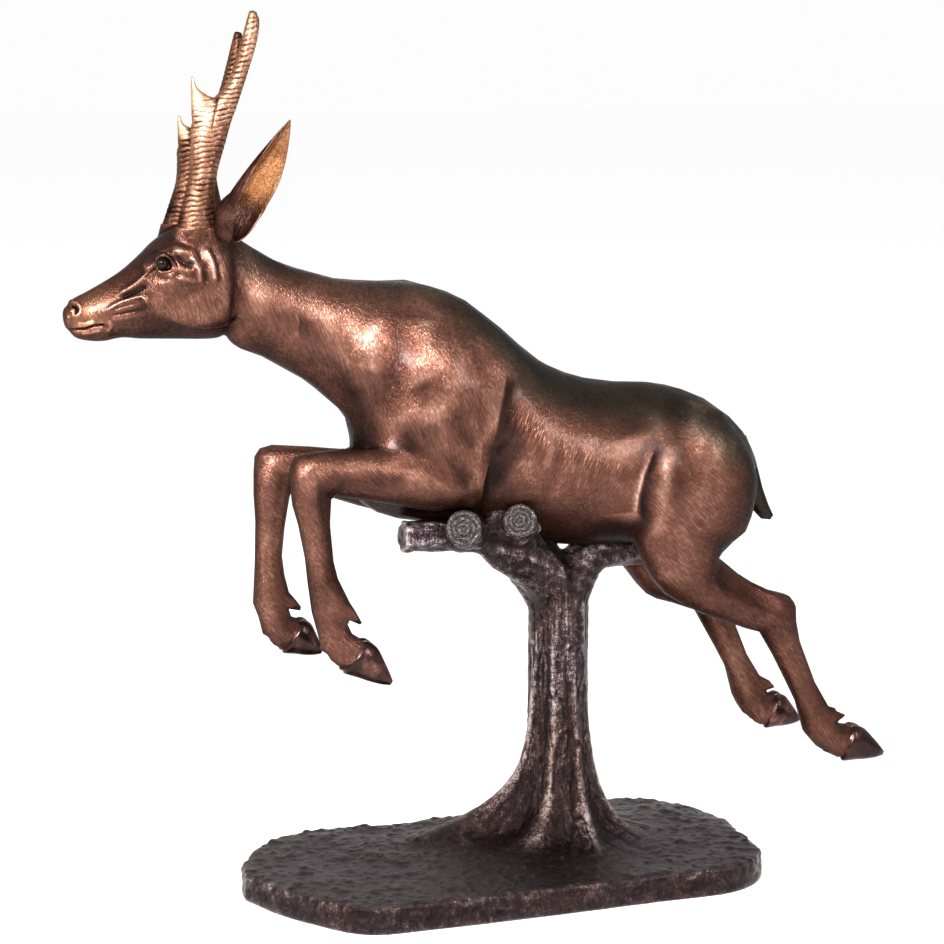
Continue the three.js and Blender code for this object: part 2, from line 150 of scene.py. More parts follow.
def shell(name, tubes):
    """One mesh of closed tubes"""
    points, faces, start = [], [], 0
    for rings in tubes:
        count, sides = rings.shape[:2]
        index = start + np.arange(count * sides).reshape(count, sides)
        following = np.roll(index, -1, axis=1)
        quads = np.stack([index[:-1], following[:-1], following[1:], index[1:]], -1)
        faces += quads.reshape(-1, 4).tolist() + [index[0, ::-1].tolist(), index[-1].tolist()]
        points.append(rings.reshape(-1, 3))
        start += count * sides
    mesh = bpy.data.meshes.new(name)
    mesh.from_pydata(np.vstack(points).tolist(), [], faces)
    piece = bpy.data.objects.new(name, mesh)
    bpy.context.scene.collection.objects.link(piece)
    choose(piece)
    bpy.ops.object.mode_set(mode="EDIT")
    bpy.ops.mesh.select_all(action="SELECT")
    bpy.ops.mesh.normals_make_consistent(inside=False)
    bpy.ops.object.mode_set(mode="OBJECT")
    return piece


def choose(piece):
    bpy.ops.object.select_all(action="DESELECT")
    piece.select_set(True)
    bpy.context.view_layer.objects.active = piece


def finished(piece, kind, **settings):
    """A modifier, applied"""
    choose(piece)
    step = piece.modifiers.new(kind, kind)
    for key, value in settings.items():
        setattr(step, key, value)
    bpy.ops.object.modifier_apply(modifier=step.name)


def spots(mesh):
    values = np.empty(len(mesh.vertices) * 3)
    mesh.vertices.foreach_get("co", values)
    return values.reshape(-1, 3)


def outward(mesh, points):
    """Writes the points and gives the new normals"""
    mesh.vertices.foreach_set("co", points.ravel())
    mesh.update()
    values = np.empty(len(mesh.vertices) * 3)
    mesh.vertex_normals.foreach_get("vector", values)
    return values.reshape(-1, 3)


def linked(mesh):
    ends = np.empty(len(mesh.edges) * 2, dtype=np.int64)
    mesh.edges.foreach_get("vertices", ends)
    a, b = ends[0::2], ends[1::2]
    count = np.bincount(a, minlength=len(mesh.vertices)) + np.bincount(b, minlength=len(mesh.vertices))
    return a, b, np.maximum(count, 1)


def pull(points, links):
    """How far each point lies from the middle of its neighbours"""
    a, b, count = links
    total = np.stack([np.bincount(a, points[b, c], len(points)) + np.bincount(b, points[a, c], len(points))
                      for c in range(3)], 1)
    return total / count[:, None] - points


def soften(points, links, turns, back, weight=1.0):
    """Evens out a skin, and gives back most of what each turn takes off"""
    for turn in range(turns):
        points += pull(points, links) * weight * 0.5
        points -= pull(points, links) * weight * back


def fill_folds(mesh, points, links, turns, fill):
    """Fills the sharp folds where limbs meet"""
    for turn in range(turns):
        if turn % 6 == 0:
            normals = outward(mesh, points)
        filled = np.maximum((pull(points, links) * normals).sum(1), 0)
        points += normals * (filled * fill)[:, None]


def stand_proud(points, links, normals, turns):
    """How far each point stands out of the broad form"""
    broad = points.copy()
    for turn in range(turns):
        broad += pull(broad, links) * 0.6
    return ((points - broad) * normals).sum(1)


def tell(piece, **values):
    """Keeps values on the points, for the finish to read"""
    for label, value in values.items():
        stored = piece.data.attributes.new(label, "FLOAT", "POINT")
        stored.data.foreach_set("value", np.asarray(value, dtype=np.float32).ravel())


def smooth(piece):
    choose(piece)
    bpy.ops.object.shade_smooth()


def grain(points, seed=0):
    """Smooth random values from -1 to 1 over space, one cell per unit"""
    cell = np.floor(points).astype(np.int64)
    f = points - cell
    f = f * f * (3 - 2 * f)
    total = np.zeros(len(points))
    for corner in itertools.product((0, 1), repeat=3):
        c = cell + corner
        h = (c[:, 0] * 374761393 + c[:, 1] * 668265263 + c[:, 2] * 2147483647 + seed * 97531) & 0xFFFFFFFF
        h = ((h ^ (h >> 13)) * 1274126177) & 0xFFFFFFFF
        h = ((h ^ (h >> 16)) * 668265263) & 0xFFFFFFFF
        weight = np.prod(np.where(np.array(corner), f, 1 - f), axis=1)
        total += weight * ((h & 0xFFFF) / 32767.5 - 1)
    return total


def fibres(points, lean, width, length, seed):
    """Random strokes that run up, leaning by that many degrees towards the tail"""
    turn = math.radians(lean)
    along = points[:, 0] * math.sin(turn) + points[:, 2] * math.cos(turn)
    aside = points[:, 0] * math.cos(turn) - points[:, 2] * math.sin(turn)
    return grain(np.stack([aside / width, points[:, 1] / width, along / length], 1), seed)


def mix(value, low, high):
    return np.clip((value - low) / (high - low), 0, 1)


torso = [
    (-414, 762, -410, 668, 0, 29), (-386, 759, -394, 641, 0, 33), (-345, 734, -360, 625, 0, 36),
    (-292, 716, -314, 598, 0, 42), (-257, 709, -286, 574, 0, 49, -0.05), (-221, 707, -262, 548, 0, 58, -0.05),
    (-190, 706, -253, 506, 0, 67), (-160, 698, -250, 457, 0, 75, 0.12), (-124, 683, -206, 431, 0, 79, 0.18),
    (-82, 651, -128, 420, 0, 82, 0.15), (-40, 615, -58, 401, 0, 86, 0.08), (0, 593, -4, 388, 0, 89),
    (52, 580, 54, 385, 0, 90, -0.05), (110, 575, 118, 386, 0, 87, -0.05), (156, 564, 165, 398, 0, 80),
    (193, 544, 198, 416, 0, 66), (221, 519, 222, 438, 0, 49), (237, 490, 238, 458, 0, 30),
]
head = [
    (-388, 742, -392, 664, 0, 31), (-404, 765, -408, 650, 0, 40, 0.1), (-430, 776, -428, 648, 0, 43, 0.15),
    (-457, 774, -452, 649, 0, 44, 0.25), (-480, 760, -477, 650, 0, 41, 0.3), (-499, 743, -499, 651, 0, 33, 0.2),
    (-519, 727, -520, 653, 0, 26, 0.05), (-540, 714.5, -540, 650, 0, 22), (-558, 705, -557, 651, 0, 19.5),
    (-572, 698, -571, 655, 0, 17.5, 0.05), (-581, 689, -579, 664, 0, 13),
]
cheek = [
    (-398, 700, -400, 672, -30, 6), (-408, 724, -410, 665, -32, 10), (-430, 736, -432, 663, -33, 11),
    (-455, 728, -456, 667, -32, 10), (-474, 712, -474, 676, -30, 6),
]
brow = [
    (-452, 760, -451, 736, -31, 8), (-466, 757, -465, 733, -33, 10.5), (-482, 750, -481, 729, -32, 10),
    (-496, 739, -495, 726, -26, 7),
]
shoulder = [
    (-176, 668, -142, 662, -42, 12), (-196, 640, -122, 632, -48, 26), (-212, 604, -104, 596, -50, 32),
    (-220, 566, -94, 560, -51, 34), (-216, 528, -92, 526, -52, 32), (-200, 494, -96, 492, -52, 27),
    (-182, 470, -106, 466, -50, 20), (-166, 452, -120, 452, -48, 12),
]
thigh = [
    (132, 556, 190, 536, -40, 24), (112, 536, 208, 508, -47, 40), (92, 505, 224, 477, -50, 45),
    (75, 466, 227, 446, -51, 44), (69, 425, 216, 404, -52, 39), (80, 376, 198, 388, -53, 33),
    (106, 335, 184, 379, -54, 28),
]
tail = [
    (236, 506, 226, 452, 0, 12), (249, 474, 238, 432, 0, 12), (259, 442, 247, 414, 0, 10),
    (267, 420, 257, 402, 0, 7), (273, 408, 267, 400, 0, 4),
]
# Joints as x, z, side: elbow, knee, fetlock, coronet, toe, and stifle, hock, fetlock, coronet, toe
fore_joints = {
    left: [(-131, 490, -50), (-318, 497, -56), (-299, 342, -55), (-287, 300, -55), (-231, 252, -55)],
    right: [(-131, 460, -48), (-333, 489, -50), (-342, 332, -51), (-330, 298, -52), (-285, 267, -53)],
}
hind_joints = {
    left: [(105, 347, -54), (254, 293, -56), (312, 157, -56), (333, 137, -56), (396, 113, -56)],
    right: [(98, 342, -52), (215, 299, -52), (266, 177, -52), (283, 153, -53), (334, 132, -54)],
}
fore_profile = [
    (0, 44, 32, 24), (0.19, 30, 45, 29), (0.45, 30, 38, 26.5), (0.7, 28, 29, 19.5), (0.86, 28, 25, 18),
    (1, 29, 25, 18), (1.14, 27, 19, 17), (1.33, 24, 15, 14.5), (1.5, 22, 13, 13), (1.66, 21, 12, 12.5),
    (1.8, 21, 15, 13), (1.93, 21, 21, 15.5), (2, 21, 23, 16), (2.4, 21, 16, 14.5), (2.75, 23, 15, 15),
    (3, 24, 18, 15.5),
]
hind_profile = [
    (0.36, 23, 49, 22), (0.62, 24, 34, 18), (0.84, 25, 28, 16), (1, 26, 30, 16),
    (1.12, 25, 23, 15.5), (1.3, 21, 17, 14.5), (1.55, 18, 16, 13.5), (1.75, 16, 17, 13.5),
    (1.9, 18, 20, 15.5), (2, 20, 21, 16), (2.5, 22, 18, 15), (3, 21, 17, 15),
]
pastern_profile = [(0, 22, 15, 8.5), (0.2, 22.5, 18.5, 10), (0.36, 18.5, 17.5, 9.5), (0.5, 11, 12, 7)]
claw_profile = [(-0.5, 8, 8, 5.5), (0, 8, 8, 6.4), (0.5, 6.8, 6.8, 6), (1, 2.4, 2.4, 2.6)]


def mirrored(rows, side):
    return [(*row[:4], -side * row[4], *row[5:]) for row in rows]


def leg_rows(joints, profile):
    """Sections across the bones: place along the joints, skin in front and behind, half width"""
    points = np.array([(x, z) for x, z, _ in joints], float)
    bones = np.diff(points, axis=0)
    bones /= np.linalg.norm(bones, axis=1)[:, None]
    normals = np.stack([bones[:, 1], -bones[:, 0]], 1)
    rows = []
    for position, front, back, half_width in profile:
        bone = min(int(position), len(joints) - 2)
        t = position - bone
        across = normals[bone] if t or not bone else normals[bone] + normals[bone - 1]
        across = across / np.linalg.norm(across)
        spot = points[bone] + (points[bone + 1] - points[bone]) * t
        side_y = joints[bone][2] + (joints[bone + 1][2] - joints[bone][2]) * t
        rows.append((*(spot + across * front), *(spot - across * back), side_y, half_width))
    return rows


def toe_bones(joints, apart):
    (x0, z0, y0), (x1, z1, y1) = joints[3:5]
    return [(x0, z0, y0 + apart * 7), (x1, z1, y1 + apart * 11)]


def claw_joints(joints, apart):
    """A small claw behind the fetlock, from the tendon to its tip"""
    fetlock, coronet = np.array(joints[2][:2], float), np.array(joints[3][:2], float)
    down = (coronet - fetlock) / np.linalg.norm(coronet - fetlock)
    behind = np.array([-down[1], down[0]])
    claw_root = fetlock + behind * 15 + down * 4
    claw_tip = claw_root + behind * 12.5 + (coronet - fetlock) * 0.52
    return [(*claw_root, joints[2][2] + apart * 8), (*claw_tip, joints[2][2] + apart * 10)]


pedicle = [
    (-476, 742, -402, 748, -24, 12), (-467, 762, -411, 766, -25.5, 13), (-463, 775, -414.5, 776, -26.3, 12.4),
]
horn_shift = {left: 0, right: -5}


def shifted(rows, by):
    return [(row[0] + by, row[1], row[2] + by, *row[3:]) for row in rows]


limbs = [limb(torso, 72, 130), limb(head, 56, 80, dome=4), limb(tail, 28, 40, dome=3)]
for side in (left, right):
    limbs += [limb(mirrored(rows, side), 36, 50) for rows in (cheek, brow, shoulder)]
    limbs.append(limb(mirrored(shifted(pedicle, horn_shift[side]), side), 32, 40, dome=2.5))
    limbs.append(limb(mirrored(leg_rows(fore_joints[side][:4], fore_profile), side), 40, 90, dome=9))
    hind_rows = thigh + leg_rows(hind_joints[side][:4], hind_profile)
    limbs.append(limb(mirrored(hind_rows, side), 44, 110, dome=9))
    for joints in (fore_joints[side], hind_joints[side]):
        for apart in (-1, 1):
            limbs.append(limb(mirrored(leg_rows(toe_bones(joints, apart), pastern_profile), side), 24, 20))
            limbs.append(limb(mirrored(leg_rows(claw_joints(joints, apart), claw_profile), side), 20, 18, dome=1))

skin = shell("antelope_skin", limbs)
finished(skin, "REMESH", mode="VOXEL", voxel_size=skin_voxel, adaptivity=0)


def in_shares(points):
    seen = points / share
    seen[:, 2] = belly_share + (points[:, 2] - saddle_height) / share
    return seen


# Where limbs meet, the wax is filled and smoothed
points, links = spots(skin.data), linked(skin.data)
seen = in_shares(points)
on_head = mix(seen[:, 0], -385, -400) * mix(seen[:, 2], 600, 625)
fill_folds(skin.data, points, links, 72, 0.9 - 0.65 * on_head)
soften(points, links, 8, 0.515)
legs = mix(seen[:, 2], 372, 345) + mix(seen[:, 0], -250, -275) * mix(seen[:, 2], 560, 540)
legs = np.clip(legs, 0, 1)[:, None]
soften(points, links, 56, 0.465, legs)
outward(skin.data, points)

# The head and the muzzle get a finer skin for the eyes, nostrils and lips
choose(skin)
bpy.ops.object.mode_set(mode="EDIT")
bpy.context.tool_settings.mesh_select_mode = (False, False, True)
bpy.ops.mesh.select_all(action="DESELECT")
bpy.ops.object.mode_set(mode="OBJECT")
centres = np.empty(len(skin.data.polygons) * 3)
skin.data.polygons.foreach_get("center", centres)
centres = in_shares(centres.reshape(-1, 3))
skin.data.polygons.foreach_set("select", (centres[:, 0] < -392) & (centres[:, 2] > 620))
bpy.ops.object.mode_set(mode="EDIT")
bpy.ops.mesh.subdivide(number_cuts=1)
bpy.ops.object.mode_set(mode="OBJECT")
points, links = spots(skin.data), linked(skin.data)
soften(points, links, 5, 0.51)
normals = outward(skin.data, points)


def from_path(seen, path):
    """Distance to a path seen from the side, share of the way along it, and which side it lies on"""
    best = np.full(len(seen), 1e9)
    along = np.zeros(len(seen))
    hand = np.zeros(len(seen))
    path = np.array(path, float)
    lengths = np.linalg.norm(np.diff(path, axis=0), axis=1)
    done = 0.0
    for start, end, length in zip(path[:-1], path[1:], lengths):
        rel = seen[:, [0, 2]] - start
        way = (end - start) / length
        t = np.clip(rel @ way, 0, length)
        gap = rel - t[:, None] * way
        distance = np.linalg.norm(gap, axis=1)
        nearer = distance < best
        best[nearer] = distance[nearer]
        along[nearer] = (done + t[nearer]) / lengths.sum()
        hand[nearer] = np.sign(rel[nearer] @ np.array([way[1], -way[0]]))
        done += length
    return best, along, hand


# Folds and ridges, as kind, path of x, z, half width in shares, height in mm, and the side if only one
marks = [
    # eyelids, the folds above them, the tear duct
    ("ridge", [(-488, 741), (-485, 746), (-478.5, 748), (-472.5, 743.6), (-466.5, 733.5)], 1.5, 1.5),
    ("crease", [(-489, 746), (-484.5, 750), (-477, 750.8), (-469.5, 744.5), (-463.5, 734)], 1.8, 2.6),
    ("ridge", [(-476, 751.5), (-468, 746), (-461.5, 735)], 1.5, 0.9),
    ("ridge", [(-488, 731.5), (-481.7, 728.2), (-474.8, 728.8), (-469, 731.5)], 1.4, 1.2),
    ("crease", [(-487.5, 733), (-493, 727.5), (-499, 721)], 1.5, 2.4),
    ("groove", [(-489, 724), (-480, 720.5), (-470, 721.5), (-461, 727)], 3.2, 1.6),
    # valley behind the eye, streaks of the temple
    ("groove", [(-474, 754.5), (-464, 743.5), (-454, 736.5), (-445, 735.5)], 4.2, 3.6),
    ("ridge", [(-448, 745), (-441, 729), (-440, 714)], 3.4, 2.6),
    ("groove", [(-441, 752), (-434, 734), (-432, 714)], 2.8, 1.8),
    ("ridge", [(-432, 755), (-426, 737), (-423, 716)], 4.0, 3.2),
    ("groove", [(-424, 750), (-418, 734), (-417, 712)], 2.6, 1.4),
    ("ridge", [(-465, 722), (-453, 719), (-444, 716)], 2.6, 1.4),
    # cheek disc, and the hollow behind the jaw
    ("step", [(-493, 716), (-497, 709), (-496.5, 699), (-493, 688.5), (-486.5, 679.5), (-476, 673), (-463, 668),
              (-448, 665), (-428, 665.5), (-414, 673), (-406, 686.5), (-403, 704), (-406, 722), (-411, 738)],
     7, -1.5),
    ("groove", [(-406, 768), (-398, 746), (-394, 722), (-395, 696), (-400, 676)], 9, 1.8),
    # muzzle: a ridge from the tear duct, and a leaf-shaped fold under it
    ("ridge", [(-492, 728), (-498, 723.5), (-505.7, 716.6), (-515.2, 709.7), (-525, 704)], 2.5, 2.8),
    ("groove", [(-498, 714.5), (-503, 710.5), (-511.7, 705.8), (-523, 699.8)], 2.8, 3.0),
    ("ridge", [(-541, 685.5), (-531, 692), (-521.4, 696.5), (-510, 699.9), (-502.6, 701.5), (-498, 698), (-496, 692)],
     2.0, 2.4),
    ("crease", [(-532, 687), (-521, 690.5), (-508, 694)], 1.9, 1.2),
    ("crease", [(-534, 681), (-521.7, 682.5), (-508.2, 685), (-497, 686.5)], 3.0, 1.2),
    ("ridge", [(-536, 676), (-520, 677.5), (-504, 680)], 3.6, 0.9),
    # nostril, lips, corner of the mouth
    ("ridge", [(-579.5, 691.5), (-575.5, 695), (-570.5, 694.6), (-567, 690.5), (-568, 684.5), (-573, 680.5)],
     1.6, 2.0),
    ("crease", [(-579, 688), (-575.8, 690.8), (-572.4, 690.2), (-571.2, 686.6), (-573.4, 683.2)], 2.0, 5.4),
    ("crease", [(-578, 664.9), (-570.3, 665.2), (-562.7, 666), (-553, 669.5), (-543.2, 670), (-540.5, 666.6)],
     1.6, 5.4),
    ("ridge", [(-572, 670.5), (-562, 670.5), (-552, 673.8)], 2.6, 1.7),
    ("ridge", [(-567, 660.5), (-558, 661.3), (-545, 664)], 2.8, 1.8),
    ("ridge", [(-538, 675), (-534.5, 668), (-539, 661)], 2.6, 1.6),
    # neck muscles
    ("ridge", [(-245, 668), (-247, 640), (-249, 606)], 14, 3.6),
    ("groove", [(-219, 672), (-220, 640), (-222, 600), (-225, 566)], 12, 2.6),
    ("ridge", [(-190, 672), (-191, 640), (-192, 610)], 15, 3.4),
    ("groove", [(-338, 672), (-304, 654), (-268, 634)], 13, 1.6),
    ("ridge", [(-392, 704), (-360, 694), (-320, 678), (-280, 664)], 10, 2.2),
    ("groove", [(-290, 616), (-270, 590), (-258, 556)], 10, 3.0),
    ("groove", [(-384, 650), (-352, 636), (-318, 616)], 10, 1.6),
    # shoulder: crease above the joint, round joint, rear edge of the blade, skin folds
    ("ridge", [(-208, 596), (-191, 606), (-173, 609)], 6.0, 1.8),
    ("groove", [(-208, 585.5), (-191, 594.5), (-173, 598)], 6.5, 1.2),
    ("groove", [(-216, 552), (-196, 540), (-178, 536)], 9, 1.4),
    ("groove", [(-168, 650), (-150, 620), (-128, 596)], 10, 2.0),
    ("step", [(-117, 456), (-117.5, 482), (-112, 518), (-101, 564), (-96, 582), (-92, 606)], 7, -2.2),
    ("crease", [(-92, 604), (-96, 580), (-101.2, 564), (-112, 518), (-117.5, 482.5), (-117.4, 456)], 2.6, 2.2),
    ("groove", [(-84, 600), (-90, 560), (-102, 512), (-108, 470)], 9, 1.8),
    ("crease", [(-111.5, 509), (-98, 523.3), (-78, 537)], 2.2, 1.8),
    ("crease", [(-113.8, 494), (-91.3, 510), (-69, 521)], 2.4, 1.4),
    ("crease", [(-114, 480), (-98, 493), (-80, 505)], 2.2, 1.2),
    ("crease", [(-94, 563), (-84, 547), (-77, 530)], 2.2, 1.0),
    ("ridge", [(-238.6, 519), (-201, 518), (-178, 509.5), (-164, 500), (-150, 483)], 6, 1.4),
    ("crease", [(-240, 523), (-201.2, 522.5), (-178, 514.5), (-164, 505.5), (-148.9, 487.5), (-136, 466)], 3.5, 1.6),
    ("groove", [(-160, 562), (-146, 540), (-138, 516)], 9, 2.0),
    # flank fold and the folded skin before it, hip bone, front of the thigh
    ("groove", [(96, 526), (89, 512.6), (73.5, 480.5), (68.3, 450.8), (72, 425), (78, 404)], 7, 2.0),
    ("crease", [(89, 513), (74, 481), (69, 451), (73, 424)], 2.6, 1.6),
    ("ridge", [(82, 512), (67, 481), (60.8, 451), (64, 424)], 3.6, 2.8),
    ("crease", [(74, 512), (60, 484), (54, 458)], 2.4, 1.4),
    ("ridge", [(94, 505), (97, 467), (94, 436), (88, 404)], 12, 5.4),
    ("ridge", [(60, 520), (81, 527), (113, 527)], 8, 2.2),
    ("groove", [(126, 532), (130, 500), (130, 462)], 12, 2.6),
    ("groove", [(205, 470), (196, 430), (186, 392), (176, 368)], 15, 2.6),
    ("groove", [(150, 406), (172, 386), (196, 374)], 12, 2.6),
    ("groove", [(128, 446), (136, 418), (140, 392)], 12, 1.8),
    # belly and ribs
    ("groove", [(-90, 452), (-40, 432), (10, 418), (52, 412)], 14, 2.0),
    ("ridge", [(-62, 548), (-68, 505), (-76, 462)], 6.5, 1.2),
    ("ridge", [(-40, 548), (-47, 505), (-57, 458)], 6.5, 1.2),
    ("ridge", [(-18, 545), (-26, 502), (-37, 452)], 6.5, 1.0),
    ("ridge", [(4, 540), (-4, 500), (-15, 448)], 6.5, 0.8),
    # forelegs: forearm muscle, knee bones, tendon of the cannon
    ("ridge", [(-302, 506), (-262, 504), (-222, 501), (-186, 493)], 8, 2.4, left),
    ("groove", [(-298, 486), (-262, 484), (-222, 480)], 8, 2.4, left),
    ("ridge", [(-331, 521), (-337, 506), (-334, 486)], 6.5, 2.6, left),
    ("groove", [(-313, 482), (-307, 452), (-301, 410), (-295, 366)], 5.5, 3.0, left),
    ("ridge", [(-325, 470), (-319, 430), (-312, 380), (-305, 350)], 6.5, 1.8, left),
    ("groove", [(-300, 336), (-292, 320), (-282, 306)], 5, 1.6, left),
    ("ridge", [(-348, 512), (-354, 498), (-354, 480)], 6.5, 2.6, right),
    ("groove", [(-332, 472), (-331, 440), (-332, 400), (-335, 356)], 5.5, 3.0, right),
    ("groove", [(-308, 482), (-272, 470), (-232, 462)], 8, 2.4, right),
    # hind legs: Achilles tendon, hock, tendon of the cannon
    ("groove", [(168, 356), (200, 335), (228, 316), (244, 303)], 9, 2.2, left),
    ("ridge", [(246, 318), (262, 300), (268, 280)], 9, 2.4, left),
    ("groove", [(266, 268), (284, 224), (304, 176)], 6, 1.4, left),
    ("groove", [(150, 348), (176, 332), (200, 316)], 8, 3.4, right),
    ("groove", [(226, 276), (244, 236), (262, 196)], 5.5, 2.8, right),
]
# Rounded swellings and hollows, as centre x, z, radii, lean in degrees, height in mm, and the side if only one
swells = [
    (-480, 738, 12, 10, 20, -1.2),
    (-458, 750.5, 13, 5, -4, 3.6),
    (-471, 722, 6, 5, 50, 2.0),
    (-494.5, 732, 3.2, 2.6, 40, 1.6),
    (-514, 692, 17, 5, 14, 2.2),
    (-576.5, 686.4, 2.2, 2.6, 0, 1.6),
    (-426, 738, 16, 20, 0, 2.0),
    (-446, 692, 30, 16, 0, 2.0),
    (-186, 566, 24, 14, 20, 4.0),
    (-148, 600, 24, 34, 10, 2.8),
    (-236, 548, 22, 28, 0, 4.6),
    (-150, 470, 24, 12, 0, 2.4),
    (168, 480, 40, 44, 0, 3.0),
    (100, 356, 16, 18, 0, 3.4),
    (-318, 500, 12, 16, 0, 2.0, left),
    (255, 300, 12, 14, 0, 2.2, left),
]
eye_opening = [(-487.5, 738), (-485.4, 743), (-481.4, 745.4), (-476.4, 744.8), (-472.3, 740.6), (-470, 734.5),
               (-472, 731.4), (-476.5, 730), (-481.5, 729.9), (-485.6, 732.2)]


def within(seen, corners):
    """Which places lie inside a closed outline seen from the side"""
    inside = np.zeros(len(seen), dtype=bool)
    for (x0, z0), (x1, z1) in zip(corners, corners[1:] + corners[:1]):
        crosses = (z0 > seen[:, 2]) != (z1 > seen[:, 2])
        reach = x0 + (seen[:, 2] - z0) / (z1 - z0 + 1e-12) * (x1 - x0)
        inside ^= crosses & (seen[:, 0] < reach)
    return inside


seen = in_shares(points)
push = np.zeros(len(points))
for side in (left, right):
    front_of_nose = mix(seen[:, 0], -560, -572)
    facing = mix(normals[:, 1] * side, 0.12 - 0.06 * front_of_nose, 0.5 - 0.28 * front_of_nose)
    facing *= mix(seen[:, 1] * side, 0, 3)
    near = np.flatnonzero(facing > 0)
    spot = seen[near]
    for kind, path, half_width, height, *only in marks:
        if only and side not in only:
            continue
        low, high = np.min(path, axis=0) - 4 * half_width, np.max(path, axis=0) + 4 * half_width
        box = (spot[:, 0] > low[0]) & (spot[:, 0] < high[0]) & (spot[:, 2] > low[1]) & (spot[:, 2] < high[1])
        chosen = near[box]
        distance, along, hand = from_path(seen[chosen], path)
        ends = np.clip(np.minimum(along, 1 - along) * 6 + 0.25, 0, 1)
        bell = np.exp(-(distance / half_width) ** 2)
        if kind == "step":
            bell = hand * np.tanh(distance / half_width) * np.exp(-(distance / (3 * half_width)) ** 2) * 1.6
        elif kind == "groove":
            bell = -bell
        elif kind == "crease":
            bell = -(0.7 * np.exp(-(distance / (0.5 * half_width)) ** 2) + 0.3 * bell)
        push[chosen] += bell * ends * height * facing[chosen] * 0.001
    for x, z, long, short, lean, height, *only in swells:
        if only and side not in only:
            continue
        dx, dz = spot[:, 0] - x, spot[:, 2] - z
        turn = math.radians(lean)
        u, v = dx * math.cos(turn) + dz * math.sin(turn), -dx * math.sin(turn) + dz * math.cos(turn)
        push[near] += np.exp(-((u / long) ** 2) - (v / short) ** 2) * height * facing[near] * 0.001
    opened = near[within(spot, eye_opening)]
    rim, _, _ = from_path(seen[opened], eye_opening + eye_opening[:1])
    push[opened] -= 0.0070 * mix(rim, 0, 1.5)

# The lay of the hair: steep on neck and shoulder, slanting on legs and thigh, forward over the ribs
slant = np.maximum(mix(seen[:, 2], 545, 515), mix(seen[:, 0], 40, 90))
slant = np.maximum(slant * mix(seen[:, 0], -60, 70), mix(seen[:, 2], 520, 500) * mix(seen[:, 0], -150, -200))
ribs = mix(seen[:, 0], -110, -90) * mix(seen[:, 0], 60, 30)
ribs *= mix(seen[:, 2], 600, 570) * mix(seen[:, 2], 385, 410)
coat = (fibres(points, -20, 0.0065, 0.045, 1) * (1 - slant) + fibres(points, -45, 0.006, 0.04, 2) * slant)
coat = coat * (1 - ribs) + fibres(points, 24, 0.0065, 0.045, 3) * ribs
on_head = mix(seen[:, 0], -385, -400) * mix(seen[:, 2], 600, 625)
legs = mix(seen[:, 2], 380, 350) + mix(seen[:, 0], -235, -260) * mix(seen[:, 2], 560, 540)
legs = np.clip(legs, 0, 1)
hair_depth = 0.00034 * (1 - 0.55 * on_head) * (1 - 0.5 * legs) * (1 - mix(seen[:, 0], -520, -545))
rough_cast = grain(points / 0.014, 5) * 0.00022
points += normals * (push + coat * hair_depth + rough_cast * (1 - 0.7 * on_head))[:, None]
normals = outward(skin.data, points)

# How far each place stands proud of the broad form, for the wear and the dark of the patina, with painted shade
# around the eye
proud = stand_proud(points, links, normals, 40) / 0.0012 + 0.45 * np.clip(push / 0.0034, -1.6, 1.3)
# Painted shade: the colour is darkened in a patch around the eye
eye_socket_shade = np.clip(1.6 * np.exp(-((seen[:, 0] + 479) / 10) ** 2 - ((seen[:, 2] - 738.5) / 9) ** 2), 0, 1)
proud = proud * (1 - eye_socket_shade) - 1.6 * eye_socket_shade
# Painted shade: darker below and where the body turns to the front or back, and on rump and chest; the legs are
# darker too
shade_where_turned = mix(np.abs(normals[:, 0]), 0.3, 0.95) * (1 - 0.6 * on_head)
rump_shade = mix(seen[:, 0], 140, 215) * (1 - legs)
chest_shade = 0.8 * mix(seen[:, 0], -205, -245) * mix(seen[:, 2], 630, 590) * (1 - legs)
under = np.maximum.reduce([mix(-normals[:, 2], -0.1, 0.85), shade_where_turned, 0.55 * legs, rump_shade, chest_shade])
proud = np.minimum(proud, 2.4 - 1.7 * np.clip(legs + mix(seen[:, 0], 236, 246), 0, 1))
dorsal = [(-420, 735), (-330, 716), (-284, 706), (-240, 694), (-208, 684), (-177, 684), (-153, 668),
          (-121, 640), (-96, 616), (-84, 592), (-60, 571), (-17, 552), (31, 533), (69, 530), (114, 529),
          (140, 516), (170, 494), (211, 465), (236, 440)]
dorsal = np.array(dorsal, float)
edge = np.interp(seen[:, 0], dorsal[:, 0], dorsal[:, 1]) + 9 * grain(points / 0.05, 7) + 7 * coat
band = mix(seen[:, 2], edge - 12, edge + 12) * mix(seen[:, 0], -425, -380) * mix(seen[:, 0], 246, 232)
band = np.maximum(band, mix(seen[:, 0], 240, 246) * mix(seen[:, 2], 390, 398))
muzzle = 0.15 + 0.38 * np.exp(-((seen[:, 0] + 560) / 14) ** 2 - ((seen[:, 2] - 682) / 13) ** 2)
muzzle *= mix(seen[:, 0], -528, -556) * mix(seen[:, 2], 640, 655)
tell(skin, proud=proud, band=band, muzzle=muzzle, slant=slant, ribs=ribs, under=under)

group = skin.vertex_groups.new(name="plain")
plain = np.flatnonzero(on_head < 0.5)
group.add(plain.tolist(), 1.0, "REPLACE")
group.add(np.flatnonzero(on_head >= 0.5).tolist(), 0.3, "REPLACE")
triangles = len(skin.data.polygons) * 2
skin_triangles = 190_000
finished(skin, "DECIMATE", ratio=skin_triangles / triangles, vertex_group="plain")
smooth(skin)


def finish_of(name):
    """An empty metal finish, and a short hand for its nodes"""
    made = bpy.data.materials.new(name)
    made.use_nodes = True
    tree = made.node_tree
    shader = tree.nodes["Principled BSDF"]

    def add(kind, inputs=None, **settings):
        step = tree.nodes.new(kind)
        for key, value in settings.items():
            setattr(step, key, value)
        for key, value in (inputs or {}).items():
            socket = step.inputs[key]
            if isinstance(value, bpy.types.NodeSocket):
                tree.links.new(value, socket)
            else:
                socket.default_value = value
        return step

    return made, tree, shader, add


